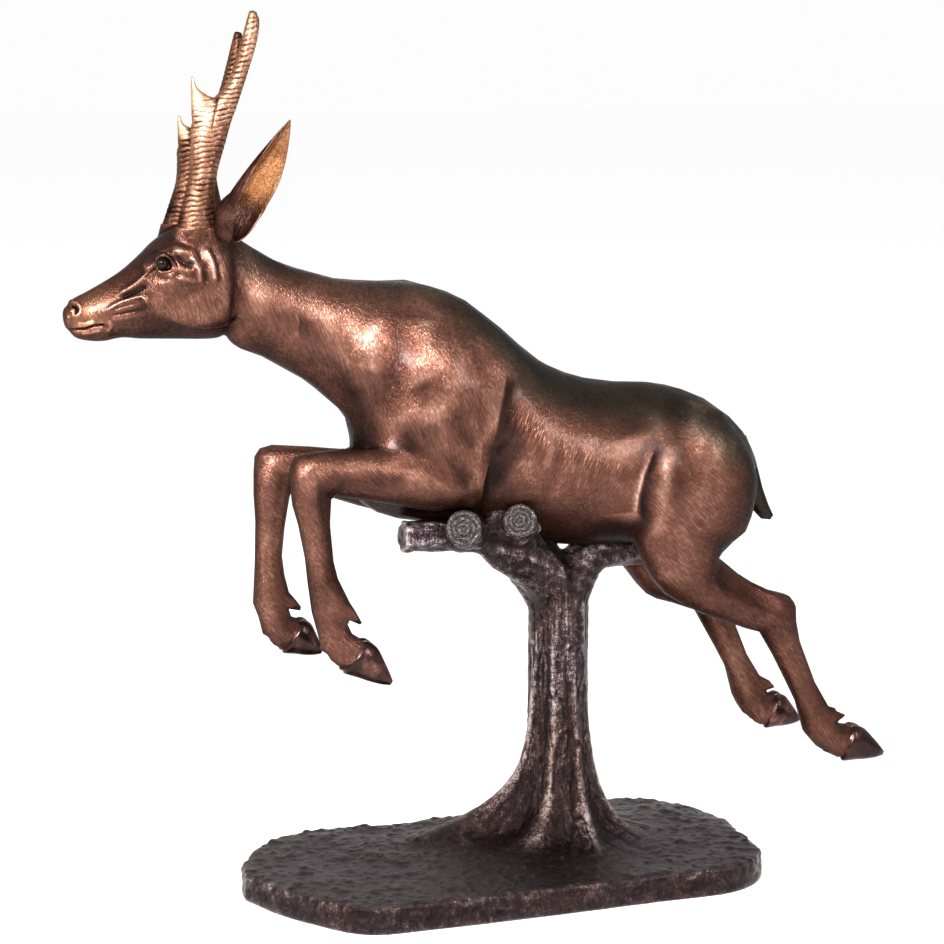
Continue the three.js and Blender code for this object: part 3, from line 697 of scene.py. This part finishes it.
def weighed(add, base, *parts):
    """A base plus each part times its weight"""
    total = base
    for value, weight in parts:
        total = add("ShaderNodeMath", {0: value, 1: weight, 2: total}, operation="MULTIPLY_ADD").outputs[0]
    return total


def clouds(add, coordinates, scale, detail, roughness=0.5):
    return add("ShaderNodeTexNoise", {"Vector": coordinates, "Scale": scale, "Detail": detail,
                                      "Roughness": roughness}).outputs["Fac"]


def told_by(add, label):
    return add("ShaderNodeAttribute", attribute_name=label).outputs["Fac"]


def roughen(shader, add, height, strength, distance):
    """Fine relief of a finish"""
    bump = add("ShaderNodeBump", {"Height": height, "Strength": strength, "Distance": distance})
    bump.id_data.links.new(bump.outputs[0], shader.inputs["Normal"])


def polish(shader, **values):
    """What is the same all over a finish"""
    for name, value in values.items():
        shader.inputs[name.replace("_", " ")].default_value = value


def strokes(add, coordinates, lean, width, length):
    """Strokes of one lay, each width across and length along"""
    laid = add("ShaderNodeMapping", {"Vector": coordinates, "Rotation": (0, math.radians(lean), 0),
                                     "Scale": (width, width, length)}, vector_type="TEXTURE")
    return add("ShaderNodeTexNoise", {"Vector": laid.outputs[0], "Scale": 1.0, "Detail": 2.0,
                                      "Roughness": 0.6}).outputs["Fac"]


def blended(add, amount, first, second, kind="RGBA"):
    step = add("ShaderNodeMix", data_type=kind)
    tree = step.id_data
    slots = {"RGBA": (0, 6, 7, 2), "FLOAT": (0, 2, 3, 0)}[kind]
    for index, value in zip(slots[:3], (amount, first, second)):
        if isinstance(value, bpy.types.NodeSocket):
            tree.links.new(value, step.inputs[index])
        else:
            step.inputs[index].default_value = value
    return step.outputs[slots[3]]


def ramp(add, factor, stops):
    step = add("ShaderNodeValToRGB", {"Fac": factor})
    elements = step.color_ramp.elements
    while len(elements) < len(stops):
        elements.new(0.5)
    for element, (spot, colour) in zip(elements, stops):
        element.position, element.color = spot, (*colour, 1)
    return step.outputs["Color"]


bronze, tree, shader, add = finish_of("reddish_bronze")
where = add("ShaderNodeTexCoord").outputs["Object"]
told = {label: told_by(add, label) for label in ("proud", "band", "muzzle", "slant", "ribs", "under")}
steep = strokes(add, where, -20, 0.0021, 0.026)
slanting = strokes(add, where, -45, 0.0019, 0.022)
forward = strokes(add, where, 24, 0.0021, 0.026)
hair = blended(add, told["slant"], steep, slanting, "FLOAT")
hair = blended(add, told["ribs"], hair, forward, "FLOAT")
blotch = clouds(add, where, 11.0, 5.0, 0.55)
mottle = clouds(add, where, 150.0, 3.0, 0.6)
# Painted shade over the belly, the turned sides, rump, chest and legs lowers the level
level = weighed(add, 0.03, (told["proud"], 0.17), (told["under"], -0.17), (hair, 0.36), (blotch, 0.42),
                (mottle, 0.18))
skin_colour = ramp(add, level, [
    (0.20, (0.006, 0.0022, 0.0017)), (0.38, (0.026, 0.0098, 0.0068)), (0.54, (0.076, 0.030, 0.020)),
    (0.69, (0.19, 0.090, 0.064)), (0.88, (0.50, 0.34, 0.29)),
])
band_colour = ramp(add, level, [
    (0.20, (0.0036, 0.0026, 0.0021)), (0.42, (0.013, 0.0090, 0.0066)), (0.58, (0.038, 0.026, 0.018)),
    (0.82, (0.14, 0.098, 0.073)),
])
gold_colour = ramp(add, level, [
    (0.16, (0.030, 0.010, 0.006)), (0.42, (0.15, 0.058, 0.029)), (0.60, (0.34, 0.155, 0.085)),
    (0.88, (0.68, 0.44, 0.30)),
])
colour = blended(add, told["band"], skin_colour, band_colour)
colour = blended(add, told["muzzle"], colour, gold_colour)
tree.links.new(colour, shader.inputs["Base Color"])
gloss = add("ShaderNodeMapRange", {"Value": hair, "From Min": 0.3, "From Max": 0.7,
                                   "To Min": 0.36, "To Max": 0.24})
tree.links.new(gloss.outputs[0], shader.inputs["Roughness"])
depth = weighed(add, hair, (mottle, 0.1))
roughen(shader, add, depth, 0.6, 0.0020)
polish(shader, Metallic=0.86, Specular_Tint=(0.20, 0.15, 0.13, 1), Coat_Weight=0.08,
       Coat_Roughness=0.20)
skin.data.materials.append(bronze)
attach(skin, "root")
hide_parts("antelope")

# Eyes. Each is a polished dark bronze ball that sits behind the lids.
eye_radius = 0.0122
eye_spot = (-479.3, 32.0, 737.2)
glass, tree, shader, add = finish_of("polished_dark_bronze")
polish(shader, Base_Color=(0.005, 0.003, 0.0025, 1), Metallic=0.0, Roughness=0.08,
       Specular_IOR_Level=0.1)
for side, name in ((left, "left_eye"), (right, "right_eye")):
    bpy.ops.object.select_all(action="DESELECT")
    spot = place((eye_spot[0], side * eye_spot[1], eye_spot[2]))
    bpy.ops.mesh.primitive_uv_sphere_add(segments=48, ring_count=28, radius=eye_radius, location=spot)
    eye = bpy.context.object
    eye.name = name
    bpy.ops.object.transform_apply(location=True, rotation=True, scale=True)
    bpy.ops.object.shade_smooth()
    eye.data.materials.append(glass)
    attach(eye, "root")
    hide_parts("antelope")

# Horns. Each is one cast column, flattened and ringed, that parts into a short front prong and a
# long curved tip. The right one stands a little shorter.
horn_root, horn_fork = 780, 908
horn_column = [
    (-464, 762, -414, 766, -26.5, 12.2), (-454, 800, -418, 798, -26, 11.8), (-445, 836, -414.5, 834, -26, 10.5),
    (-443, 866, -405, 866, -26, 10), (-441.5, 888, -398.5, 888, -26, 10), (-424, 908, -391.5, 906, -26, 10),
    (-405, 928, -384.5, 926, -26, 9.5), (-394, 950, -376.5, 949, -26, 8.5), (-386, 974, -368.5, 974, -26, 7),
    (-379, 998, -364.5, 997, -26, 5), (-375.5, 1009, -367.5, 1008, -26, 3),
]
horn_prong = [
    (-440, 874, -412, 874, -26, 7), (-441.5, 896, -411, 896, -26, 7), (-441.5, 911, -411, 912, -26, 6),
    (-441.5, 920, -424, 919, -26, 5), (-441.5, 928, -435, 927, -26, 3.5), (-441, 938, -439, 938, -26, 1.5),
]
# Rise of the column below and above the fork, and of the prong
horn_rise = {left: (1, 1, 1), right: (0.74, 1.1, 0.72)}


def lifted(height, low, high):
    below, above = np.minimum(height, horn_fork) - horn_root, np.maximum(height - horn_fork, 0)
    return horn_root + below * low + above * high


ring_pitch = 5.6
ring_depth = 0.0011

horn_bronze, tree, shader, add = finish_of("tan_horn_bronze")
where = add("ShaderNodeTexCoord").outputs["Object"]
cut = told_by(add, "cut")
tip = told_by(add, "tip")
root = told_by(add, "root")
fleck = clouds(add, where, 260.0, 4.0, 0.65)
patch = clouds(add, where, 28.0, 3.0)
# root darkens the horn towards its foot, and the whole right horn as painted shade
level = weighed(add, 0.08, (fleck, 0.45), (patch, 0.5), (cut, -0.40), (root, -0.20))
ringed = ramp(add, level, [
    (0.14, (0.008, 0.0035, 0.0026)), (0.32, (0.052, 0.021, 0.013)), (0.50, (0.19, 0.090, 0.055)),
    (0.72, (0.50, 0.30, 0.20)),
])
colour = blended(add, tip, ringed, (0.58, 0.34, 0.19, 1))
tree.links.new(colour, shader.inputs["Base Color"])
roughen(shader, add, fleck, 0.35, 0.0012)
polish(shader, Metallic=0.86, Specular_Tint=(0.30, 0.22, 0.18, 1), Roughness=0.34)
for side, name in ((left, "left_horn"), (right, "right_horn")):
    low, high, prong_rise = horn_rise[side]
    tubes = []
    for rows, below, above in ((horn_column, low, high), (horn_prong, prong_rise, prong_rise)):
        raised = [(x0, lifted(z0, below, above), x1, lifted(z1, below, above), y, w)
                  for x0, z0, x1, z1, y, w in rows]
        tubes.append(limb(mirrored(shifted(raised, horn_shift[side]), side), 32, 80, dome=1.5))
    horn = shell(name, tubes)
    finished(horn, "REMESH", mode="VOXEL", voxel_size=0.00125, adaptivity=0)
    points, links = spots(horn.data), linked(horn.data)
    soften(points, links, 10, 0.515)
    normals = outward(horn.data, points)
    seen = in_shares(points)
    seen[:, 0] -= horn_shift[side]
    fork = horn_root + (horn_fork - horn_root) * low
    lift = np.where(seen[:, 2] < fork, (seen[:, 2] - horn_root) / low + horn_root,
                    (seen[:, 2] - fork) / high + horn_fork)
    wave = 0.32 * grain(points / 0.011, 11) + 0.25 * grain(points / 0.03, 12)
    phase = (seen[:, 2] - 0.10 * (seen[:, 0] + 430)) / ring_pitch + wave
    swing = np.abs((phase % 1) - 0.5) * 2
    groove = np.exp(-((1 - swing) / 0.22) ** 2)
    uneven = 0.66 + 0.6 * grain(points / 0.012, 13)
    front = mix(-normals[:, 0], 0.55, 0.95) * mix(lift, 800, 830)
    top = mix(lift, 914, 926) * mix(seen[:, 0], -421, -427)
    smooth_tip = np.maximum(top, mix(lift, 900, 916) * mix(seen[:, 0], -428, -434))
    deep = groove * uneven * (1 - 0.3 * front) * (1 - smooth_tip) * mix(lift, 1012, 960) ** 0.4
    deep *= mix(lift, 770, 790)
    # Painted shade: the whole right horn, on the far side, is made darker through root; root also darkens each horn
    # towards its foot
    root = np.maximum(mix(lift, 860, 785), 1.3 * (side == right))
    seam = np.exp(-((seen[:, 0] + 421 - 0.21 * (lift - 884)) / 1.5) ** 2)
    seam *= mix(lift, 876, 890) * mix(lift, 924, 918)
    seam *= mix(np.abs(normals[:, 1]), 0.3, 0.6)
    deep = np.maximum(deep, seam * 0.8)
    points += normals * (0.0004 * (1 - deep) - ring_depth * deep)[:, None]
    outward(horn.data, points)
    tell(horn, cut=deep, tip=np.maximum(smooth_tip, front * 0.15), root=root)
    smooth(horn)
    horn.data.materials.append(horn_bronze)
    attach(horn, "root")
    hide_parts("antelope")

# Ears. Each is a cupped leaf of thin cast bronze on a short stalk, dark outside and rubbed golden
# inside. The left one opens outwards and back, and the right one is turned forwards.
ear_places = {
    left: dict(line=[(-407, -26, 766), (-378, -62, 828), (-346, -86, 894)], opening=(0.62, -0.78, 0.05)),
    right: dict(line=[(-412, 27, 764), (-410, 54, 814), (-394, 80, 864)], opening=(-1, 0.35, 0.1)),
}
ear_half_width = 29.5 * share
ear_wall = 3.4 * share
ear_bronze, tree, shader, add = finish_of("golden_ear_bronze")
where = add("ShaderNodeTexCoord").outputs["Object"]
inside = told_by(add, "inside")
lines = strokes(add, where, 30, 0.0018, 0.03)
cloud = clouds(add, where, 30.0, 4.0)
level = weighed(add, 0.0, (lines, 0.6), (cloud, 0.4))
golden = ramp(add, level, [
    (0.28, (0.085, 0.024, 0.010)), (0.48, (0.32, 0.125, 0.048)), (0.70, (0.70, 0.40, 0.17)),
])
outer = ramp(add, level, [
    (0.28, (0.010, 0.0045, 0.0042)), (0.50, (0.055, 0.022, 0.016)), (0.74, (0.24, 0.125, 0.095)),
])
tree.links.new(blended(add, inside, outer, golden), shader.inputs["Base Color"])
roughen(shader, add, lines, 0.5, 0.0016)
polish(shader, Metallic=0.86, Specular_Tint=(0.30, 0.22, 0.18, 1), Roughness=0.36)
for side, name in ((left, "left_ear"), (right, "right_ear")):
    spec = ear_places[side]
    ring_count, across_count = 70, 26
    spine = place(eased(spec["line"], ring_count))
    opening = np.array(spec["opening"], float)
    rings, hollow = [], []
    for k, centre in enumerate(spine):
        t = k / ring_count
        rise = spine[min(k + 1, ring_count)] - spine[max(k - 1, 0)]
        rise /= np.linalg.norm(rise)
        outer_way = opening - rise * (opening @ rise)
        outer_way /= np.linalg.norm(outer_way)
        across_way = np.cross(rise, outer_way)
        half = ear_half_width * math.sin(math.pi * min(0.16 + 0.835 * t, 0.995)) ** 0.85
        bend = np.interp(t, [0, 0.14, 0.32, 0.6, 1], [2.75, 2.3, 1.55, 1.25, 0.8])
        radius = half / math.sin(min(bend, math.pi / 2))
        sink = radius * (1 - math.cos(bend))
        shift = radius - 0.6 * min(sink, radius * 1.5)
        wall = ear_wall * np.interp(t, [0, 0.85, 1], [1.2, 0.8, 0.35])
        u = np.linspace(-1, 1, across_count)
        roll = 0.05 * np.sin(3.1 * u + 7 * t)
        out_side = [centre + across_way * radius * math.sin(bend * a)
                    + outer_way * (shift - radius * math.cos(bend * a)) for a in u]
        in_radius = [radius - wall * (1 - 0.45 * a * a) * (1 + r) for a, r in zip(u, roll)]
        ribs_in = [0.0011 * math.exp(-((a - c) / 0.07) ** 2) * mix(t, 0.2, 0.4) * mix(t, 0.95, 0.7)
                   for a in u for c in (-0.42, 0.0, 0.42)]
        ribs_in = np.array(ribs_in).reshape(len(u), 3).sum(1)
        in_side = [centre + across_way * (r - e) * math.sin(bend * a * 0.985)
                   + outer_way * (shift - (r - e) * math.cos(bend * a * 0.985))
                   for a, r, e in zip(u, in_radius, ribs_in)]
        rings.append(out_side + in_side[::-1])
        glow = mix(t, 0.2, 0.36) * (1 - 0.6 * mix(t, 0.5, 0.95)) * (1 - 0.55 * np.abs(u) ** 2)
        hollow.append([0.0] * across_count + glow.tolist())
    ear = shell(name, [np.array(rings)])
    tell(ear, inside=hollow)
    finished(ear, "SUBSURF", levels=1, render_levels=1)
    smooth(ear)
    ear.data.materials.append(ear_bronze)
    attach(ear, "root")
    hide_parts("antelope")

# Hooves. Every foot has two pointed toes, darker and polished, that stand a little proud of the
# pastern at the coronet.
hoof_profile = [
    (0.24, 20, 18.5, 9.5), (0.30, 24.4, 21.6, 12), (0.4, 22.5, 22.6, 12.2), (0.52, 19, 21.4, 11.5),
    (0.72, 14, 14.8, 9.8), (0.88, 9, 9, 7.4), (1, 4, 4, 4),
]
hoof_bronze, tree, shader, add = finish_of("dark_hoof_bronze")
where = add("ShaderNodeTexCoord").outputs["Object"]
band_of_wear = clouds(add, where, 34.0, 3.0)
bands = strokes(add, where, 50, 0.0022, 0.05)
level = weighed(add, 0.0, (band_of_wear, 0.9), (bands, 0.25))
hoof_colour = ramp(add, level, [
    (0.38, (0.006, 0.0030, 0.0028)), (0.56, (0.024, 0.0090, 0.0072)), (0.70, (0.075, 0.030, 0.023)),
    (0.86, (0.34, 0.25, 0.22)),
])
tree.links.new(hoof_colour, shader.inputs["Base Color"])
roughen(shader, add, bands, 0.25, 0.001)
polish(shader, Metallic=0.8, Roughness=0.22)
feet = {
    "left_fore_hooves": (fore_joints[left], left), "right_fore_hooves": (fore_joints[right], right),
    "left_hind_hooves": (hind_joints[left], left), "right_hind_hooves": (hind_joints[right], right),
}
for name, (joints, side) in feet.items():
    foot = shell(name, [limb(mirrored(leg_rows(toe_bones(joints, apart), hoof_profile), side), 32, 44, dome=1.5)
                        for apart in (-1, 1)])
    smooth(foot)
    foot.data.materials.append(hoof_bronze)
    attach(foot, "root")
    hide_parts("antelope")

# Tree stump. One darker bronze casting carries the antelope: a fluted trunk with its roots on a
# patch of rough ground, a thick limb under the chest with two sawn branches and a stub, and a
# branch under the belly. Its bark is ridged and cracked, and it stops at the antelope's skin.
trunk_radius = 0.048
trunk_lean = -0.004
root_height = 0.290
root_spread = 0.076
root_ridge = 0.050
crotch_height = 0.505
crotch_dome = 0.075
base_length, base_depth, base_thickness = 0.846, 0.422, 0.044
base_edge = 0.009
base_centre = np.array([-0.130, -0.069])
mound_height = 0.020
roots = [(-176, 2.3), (-124, 1), (-78, 0.9), (-32, 0.7), (16, 0.45), (72, 0.8), (128, 0.9)]
edge_corners = [
    (-1, 0.05), (-0.95, 0.46), (-0.8, 0.86), (-0.55, 1), (-0.26, 0.93), (0.06, 0.95), (0.45, 1), (0.8, 0.93),
    (0.98, 0.48), (1, -0.14), (0.97, -0.62), (0.8, -0.91), (0.45, -0.95), (0.05, -0.99), (-0.36, -1),
    (-0.66, -0.96), (-0.84, -0.58), (-0.94, -0.25),
]
stump_voxel = 0.0032


def ground_height(x, y):
    near = np.exp(-((x / 0.190) ** 2) - (y / 0.120) ** 2)
    rolling = np.sin(x / 0.067) * np.cos(y / 0.049) + 0.6 * np.sin(x / 0.029 + y / 0.041)
    return base_thickness + mound_height * near + 0.0022 * rolling


def round_loop(corners, steps):
    closed = [corners[-1], *corners, *corners[:2]]
    return eased(closed, (len(closed) - 1) * steps)[steps:-2 * steps]


loop = round_loop(edge_corners, 10) * [base_length / 2, base_depth / 2] + base_centre
inward = base_centre - loop
inward /= np.linalg.norm(inward, axis=1)[:, None]
ground_rings = [np.column_stack([loop + inward * inset, np.full(len(loop), z)]) for inset, z in (
    (base_edge * 0.6, 0), (base_edge * 0.1, base_edge * 0.5), (0, base_edge),
    (base_edge * 0.2, base_thickness - base_edge), (base_edge * 0.5, base_thickness - base_edge * 0.4),
    (base_edge, base_thickness - 0.001))]
for scale in (0.94, 0.84, 0.73, 0.62, 0.5, 0.4, 0.3, 0.2, 0.08):
    near = loop * scale
    ground_rings.append(np.column_stack([near, ground_height(near[:, 0], near[:, 1])]))
ground = np.array(ground_rings)

turn = np.radians(np.arange(0, 360, 2.5))
trunk_rings = []
for t in np.linspace(0, 1, 70):
    z = base_thickness - 0.012 + t**1.4 * (crotch_height - base_thickness + 0.012)
    low = max(0, 1 - max(0, z - base_thickness) / root_height)
    radius = trunk_radius + root_spread * 0.5 * low**5 + np.zeros(len(turn))
    for heading, reach in roots:
        off = np.angle(np.exp(1j * (turn - math.radians(heading + 6 * math.sin(5 * low)))))
        radius += reach * (root_spread * low**6 + root_ridge * 0.3 * low) * np.exp(-(off / 0.27) ** 2)
    radius += 0.0018 * np.sin(9 * turn + 3 * t) + 0.0012 * np.sin(17 * turn - 2 * t) - 0.0015
    radius *= math.sqrt(1 - (max(0, z + 0.75 * crotch_dome - crotch_height) / crotch_dome) ** 2)
    axis = trunk_lean * (1 - low)
    trunk_rings.append(np.stack([axis + radius * np.cos(turn), radius * np.sin(turn), np.full(len(turn), z)], 1))
trunk = np.array(trunk_rings)


def branch(path, radii, sides=44, steps=60):
    line = eased(path, steps)
    thick = eased([(r, 0) for r in radii], steps)[:, 0]
    rings = []
    for k in range(steps + 1):
        ahead = line[min(k + 1, steps)] - line[max(k - 1, 0)]
        ahead /= np.linalg.norm(ahead)
        up = np.array([0, 0, 1.0]) - ahead * ahead[2]
        if np.linalg.norm(up) < 0.2:
            up = np.array([0, 1.0, 0]) - ahead * ahead[1]
        up /= np.linalg.norm(up)
        aside = np.cross(ahead, up)
        a = np.arange(sides) * 2 * np.pi / sides
        r = thick[k] * (1 + 0.04 * np.sin(5 * a + 0.1 * k))
        rings.append(line[k] + up * (r * np.cos(a))[:, None] + aside * (r * np.sin(a))[:, None])
    return np.array(rings)


fork = np.array([trunk_lean, 0, crotch_height - 0.070])
fore_cut = place((-144, -42 - 46 * 0.62, 427))
middle_cut = place((-77, -45 - 46 * 0.62, 433))
limb_path = [fork, place((-33, -8, 364)), place((-76, -20, 397)), place((-112, -26, 420))]
stub_path = [place((-84, -18, 402)), place((-130, -20, 409)), place((-203, -20, 412))]
rear_path = [fork, place((30, 2, 368)), place((76, 12, 370)), place((112, 24, 364))]
fore_path = [place((-112, -24, 410)), place((-128, -44, 418)), fore_cut]
middle_path = [place((-54, -16, 398)), place((-64, -42, 418)), middle_cut]
crown_path = [place((-76, -22, 400)), place((-88, -36, 420)), place((-100, -50, 438))]
stump = shell("stump", [
    ground, trunk,
    branch(limb_path, [0.0432, 0.047, 0.044, 0.030]),
    branch([fork, np.array([0.004, -0.004, 0.470]), np.array([0.006, -0.006, 0.499])], [0.041, 0.038, 0.030]),
    branch(stub_path, [0.026, 0.026, 0.026]),
    branch(rear_path, [0.0432, 0.035, 0.025, 0.020]),
    branch(fore_path, [0.026, 0.0294, 0.028]),
    branch(middle_path, [0.026, 0.0274, 0.0258]),
    branch(crown_path, [0.034, 0.028, 0.016]),
])
finished(stump, "REMESH", mode="VOXEL", voxel_size=stump_voxel, adaptivity=0)
points, links = spots(stump.data), linked(stump.data)
on_sawn = np.zeros(len(points))
for path in (fore_path, middle_path):
    cut_way = (path[2] - path[1]) / np.linalg.norm(path[2] - path[1])
    rel = points - path[2]
    height = rel @ cut_way
    near_cut = mix(np.abs(height), 0.006, 0.002) * mix(np.linalg.norm(rel, axis=1), 0.036, 0.032)
    on_sawn = np.maximum(on_sawn, near_cut)
fill_folds(stump.data, points, links, 130, 0.9 * (points[:, 2] > 0.03) * (1 - on_sawn))
soften(points, links, 3, 0.515)
normals = outward(stump.data, points)

# Bark: long cracked ridges up the trunk and along the roots, pebbles and grit on the ground
away = np.hypot(points[:, 0], points[:, 1])
heading = np.arctan2(points[:, 1], points[:, 0])
on_ground = mix(points[:, 2], base_thickness + 0.075, base_thickness + 0.02) * mix(away, 0.13, 0.19)
on_limb = mix(points[:, 2], 0.44, 0.48)
climb = points[:, 2] + away * 0.9
wrap = np.stack([np.cos(heading) * 2.6, np.sin(heading) * 2.6, climb / 0.16], 1)
wrap_fine = np.stack([np.cos(heading) * 6.5, np.sin(heading) * 6.5, climb / 0.075], 1)
ridges = 1 - 2 * np.abs(grain(wrap + 0.25 * grain(points / 0.05, 21)[:, None], 22))
cracks = 1 - np.abs(grain(wrap_fine + 0.3 * grain(points / 0.02, 23)[:, None], 24)) / 0.16
cracks = np.clip(cracks, 0, 1)
grit = grain(points / 0.009, 25) * 0.6 + grain(points / 0.0055, 26) * 0.4
pebbles = np.clip(grain(points / 0.013, 27), 0, 1) + 0.6 * np.clip(grain(points / 0.008, 33), 0, 1)
along_limb = fibres(points, -62, 0.010, 0.06, 28)
trunk_part = (1 - on_ground) * (1 - on_limb)
push = trunk_part * (0.0026 * ridges - 0.0024 * cracks - 0.0006)
push += on_limb * (0.0026 * along_limb + 0.0014 * grain(points / 0.014, 29) - 0.0006)
push += on_ground * (0.0034 * pebbles + 0.0020 * grain(points / 0.03, 30)) * mix(points[:, 2], 0.004, 0.02)
rough_edge = on_ground * mix(points[:, 2], 0.004, 0.014) * mix(np.abs(normals[:, 2]), 0.8, 0.4)
push += rough_edge * (0.0035 * grain(points / np.array([0.035, 0.035, 0.02]), 31) - 0.002)
push += 0.0009 * grit * mix(points[:, 2], 0.002, 0.012)
push *= 1 - on_sawn
points += normals * push[:, None]
points[:, 2] = np.maximum(points[:, 2], 0)

# The wood stops just inside the antelope's skin
tree_of_skin = BVHTree.FromPolygons([v.co for v in skin.data.vertices], [p.vertices for p in skin.data.polygons])
bearing_low, bearing_high, seat_depth = 0.42, 0.66, 0.001
for index in np.flatnonzero((points[:, 2] > bearing_low) & (points[:, 2] < bearing_high)):
    spot, normal, _, distance = tree_of_skin.find_nearest(Vector(points[index]), 0.08)
    if spot is not None and (Vector(points[index]) - spot).dot(normal) < -seat_depth:
        points[index] = spot - normal * seat_depth
normals = outward(stump.data, points)
proud = stand_proud(points, links, normals, 25) / 0.0016 * (1 - 0.6 * on_ground)
tell(stump, proud=proud, ground=on_ground)
stump_triangles = 190_000
made = len(stump.data.polygons) * 2
if made > stump_triangles:
    finished(stump, "DECIMATE", ratio=stump_triangles / made)
smooth(stump)

bark, tree, shader, add = finish_of("black_bark_bronze")
where = add("ShaderNodeTexCoord").outputs["Object"]
told = {label: told_by(add, label) for label in ("proud", "ground")}
crumbs = clouds(add, where, 400.0, 4.0, 0.7)
patches = clouds(add, where, 16.0, 5.0, 0.6)
streaks = strokes(add, where, 0, 0.0035, 0.04)
stones = clouds(add, where, 105.0, 3.0, 0.6)
tint = clouds(add, where, 6.5, 2.0)
on_wood = weighed(add, 1.0, (told["ground"], -1.0))
level = weighed(add, -0.53, (told["proud"], 0.15), (crumbs, 0.85), (patches, 0.38), (stones, 0.45),
                (told["ground"], 0.11), (weighed(add, 0.0, (streaks, on_wood)), 0.3))
dark = ramp(add, level, [
    (0.28, (0.0030, 0.0017, 0.0018)), (0.46, (0.014, 0.0075, 0.0078)), (0.60, (0.052, 0.035, 0.034)),
    (0.78, (0.34, 0.30, 0.285)),
])
violet = ramp(add, tint, [(0.38, (1.0, 0.80, 0.72)), (0.52, (1.0, 0.92, 0.92)), (0.66, (0.90, 0.82, 0.98))])
tinted = blended(add, 1.0, dark, violet)
tinted.node.blend_type = "MULTIPLY"
tree.links.new(tinted, shader.inputs["Base Color"])
depth = weighed(add, crumbs, (streaks, 0.5), (stones, 1.6))
roughen(shader, add, depth, 0.75, 0.0030)
polish(shader, Metallic=0.84, Specular_Tint=(0.95, 0.90, 0.92, 1), Roughness=0.29)
stump.data.materials.append(bark)
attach(stump, "root")
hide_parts("tree_stump")

# Sawn ends of the two short branches, cast with their growth rings and the saw's rough edge
sawn_bronze, tree, shader, add = finish_of("silvery_sawn_bronze")
where = add("ShaderNodeTexCoord").outputs["Object"]
ring_mark = told_by(add, "ring")
crumbs = clouds(add, where, 420.0, 3.0, 0.7)
level = weighed(add, 0.0, (ring_mark, 0.12), (crumbs, 0.8))
sawn_colour = ramp(add, level, [
    (0.30, (0.006, 0.0040, 0.0042)), (0.44, (0.034, 0.026, 0.025)), (0.57, (0.15, 0.132, 0.128)),
    (0.72, (0.52, 0.49, 0.47)),
])
tree.links.new(sawn_colour, shader.inputs["Base Color"])
roughen(shader, add, crumbs, 0.6, 0.0018)
polish(shader, Metallic=0.8, Roughness=0.38)
sawn_ends = {"fore_sawn_end": (fore_path, 0.0292, 31), "middle_sawn_end": (middle_path, 0.0268, 47)}
for name, (path, radius, seed) in sawn_ends.items():
    ahead = (path[2] - path[1]) / np.linalg.norm(path[2] - path[1])
    up = np.array([0, 0, 1.0]) - ahead * ahead[2]
    up /= np.linalg.norm(up)
    aside = np.cross(ahead, up)
    a = np.arange(96) * 2 * np.pi / 96
    rings, marks_of_ring = [], []
    for share_out, back in [(0.98, -0.008), (1.02, -0.003), (1.0, 0.0005)]:
        r = radius * share_out * (1 + 0.02 * np.sin(5 * a + seed))
        rings.append(path[2] + ahead * back + up * (r * np.cos(a))[:, None] + aside * (r * np.sin(a))[:, None])
        marks_of_ring.append(np.zeros(len(a)))
    for k in range(60):
        share_out = 0.97 * (1 - k / 60)
        wob = 1 + 0.09 * (1 - share_out) * np.sin(2 * a + seed) + 0.03 * np.sin(5 * a + seed + 4 * share_out)
        r = radius * share_out * wob
        flat = np.stack([r * np.cos(a), r * np.sin(a), np.full(len(a), share_out * 4)], 1)
        height = np.cos(share_out * 2 * np.pi * 3.6 + 2.4 * grain(flat / 0.009, seed))
        height *= 0.6 + 0.5 * grain(flat / 0.006, seed + 2)
        lift = 0.0012 * height + 0.0012 * grain(flat / 0.004, seed + 1) + 0.0014
        outline = up * (r * np.cos(a))[:, None] + aside * (r * np.sin(a))[:, None]
        rings.append(path[2] + ahead * lift[:, None] + outline)
        marks_of_ring.append(height)
    disc = shell(name, [np.array(rings)])
    tell(disc, ring=marks_of_ring)
    smooth(disc)
    disc.data.materials.append(sawn_bronze)
    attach(disc, "root")
    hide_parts("tree_stump")
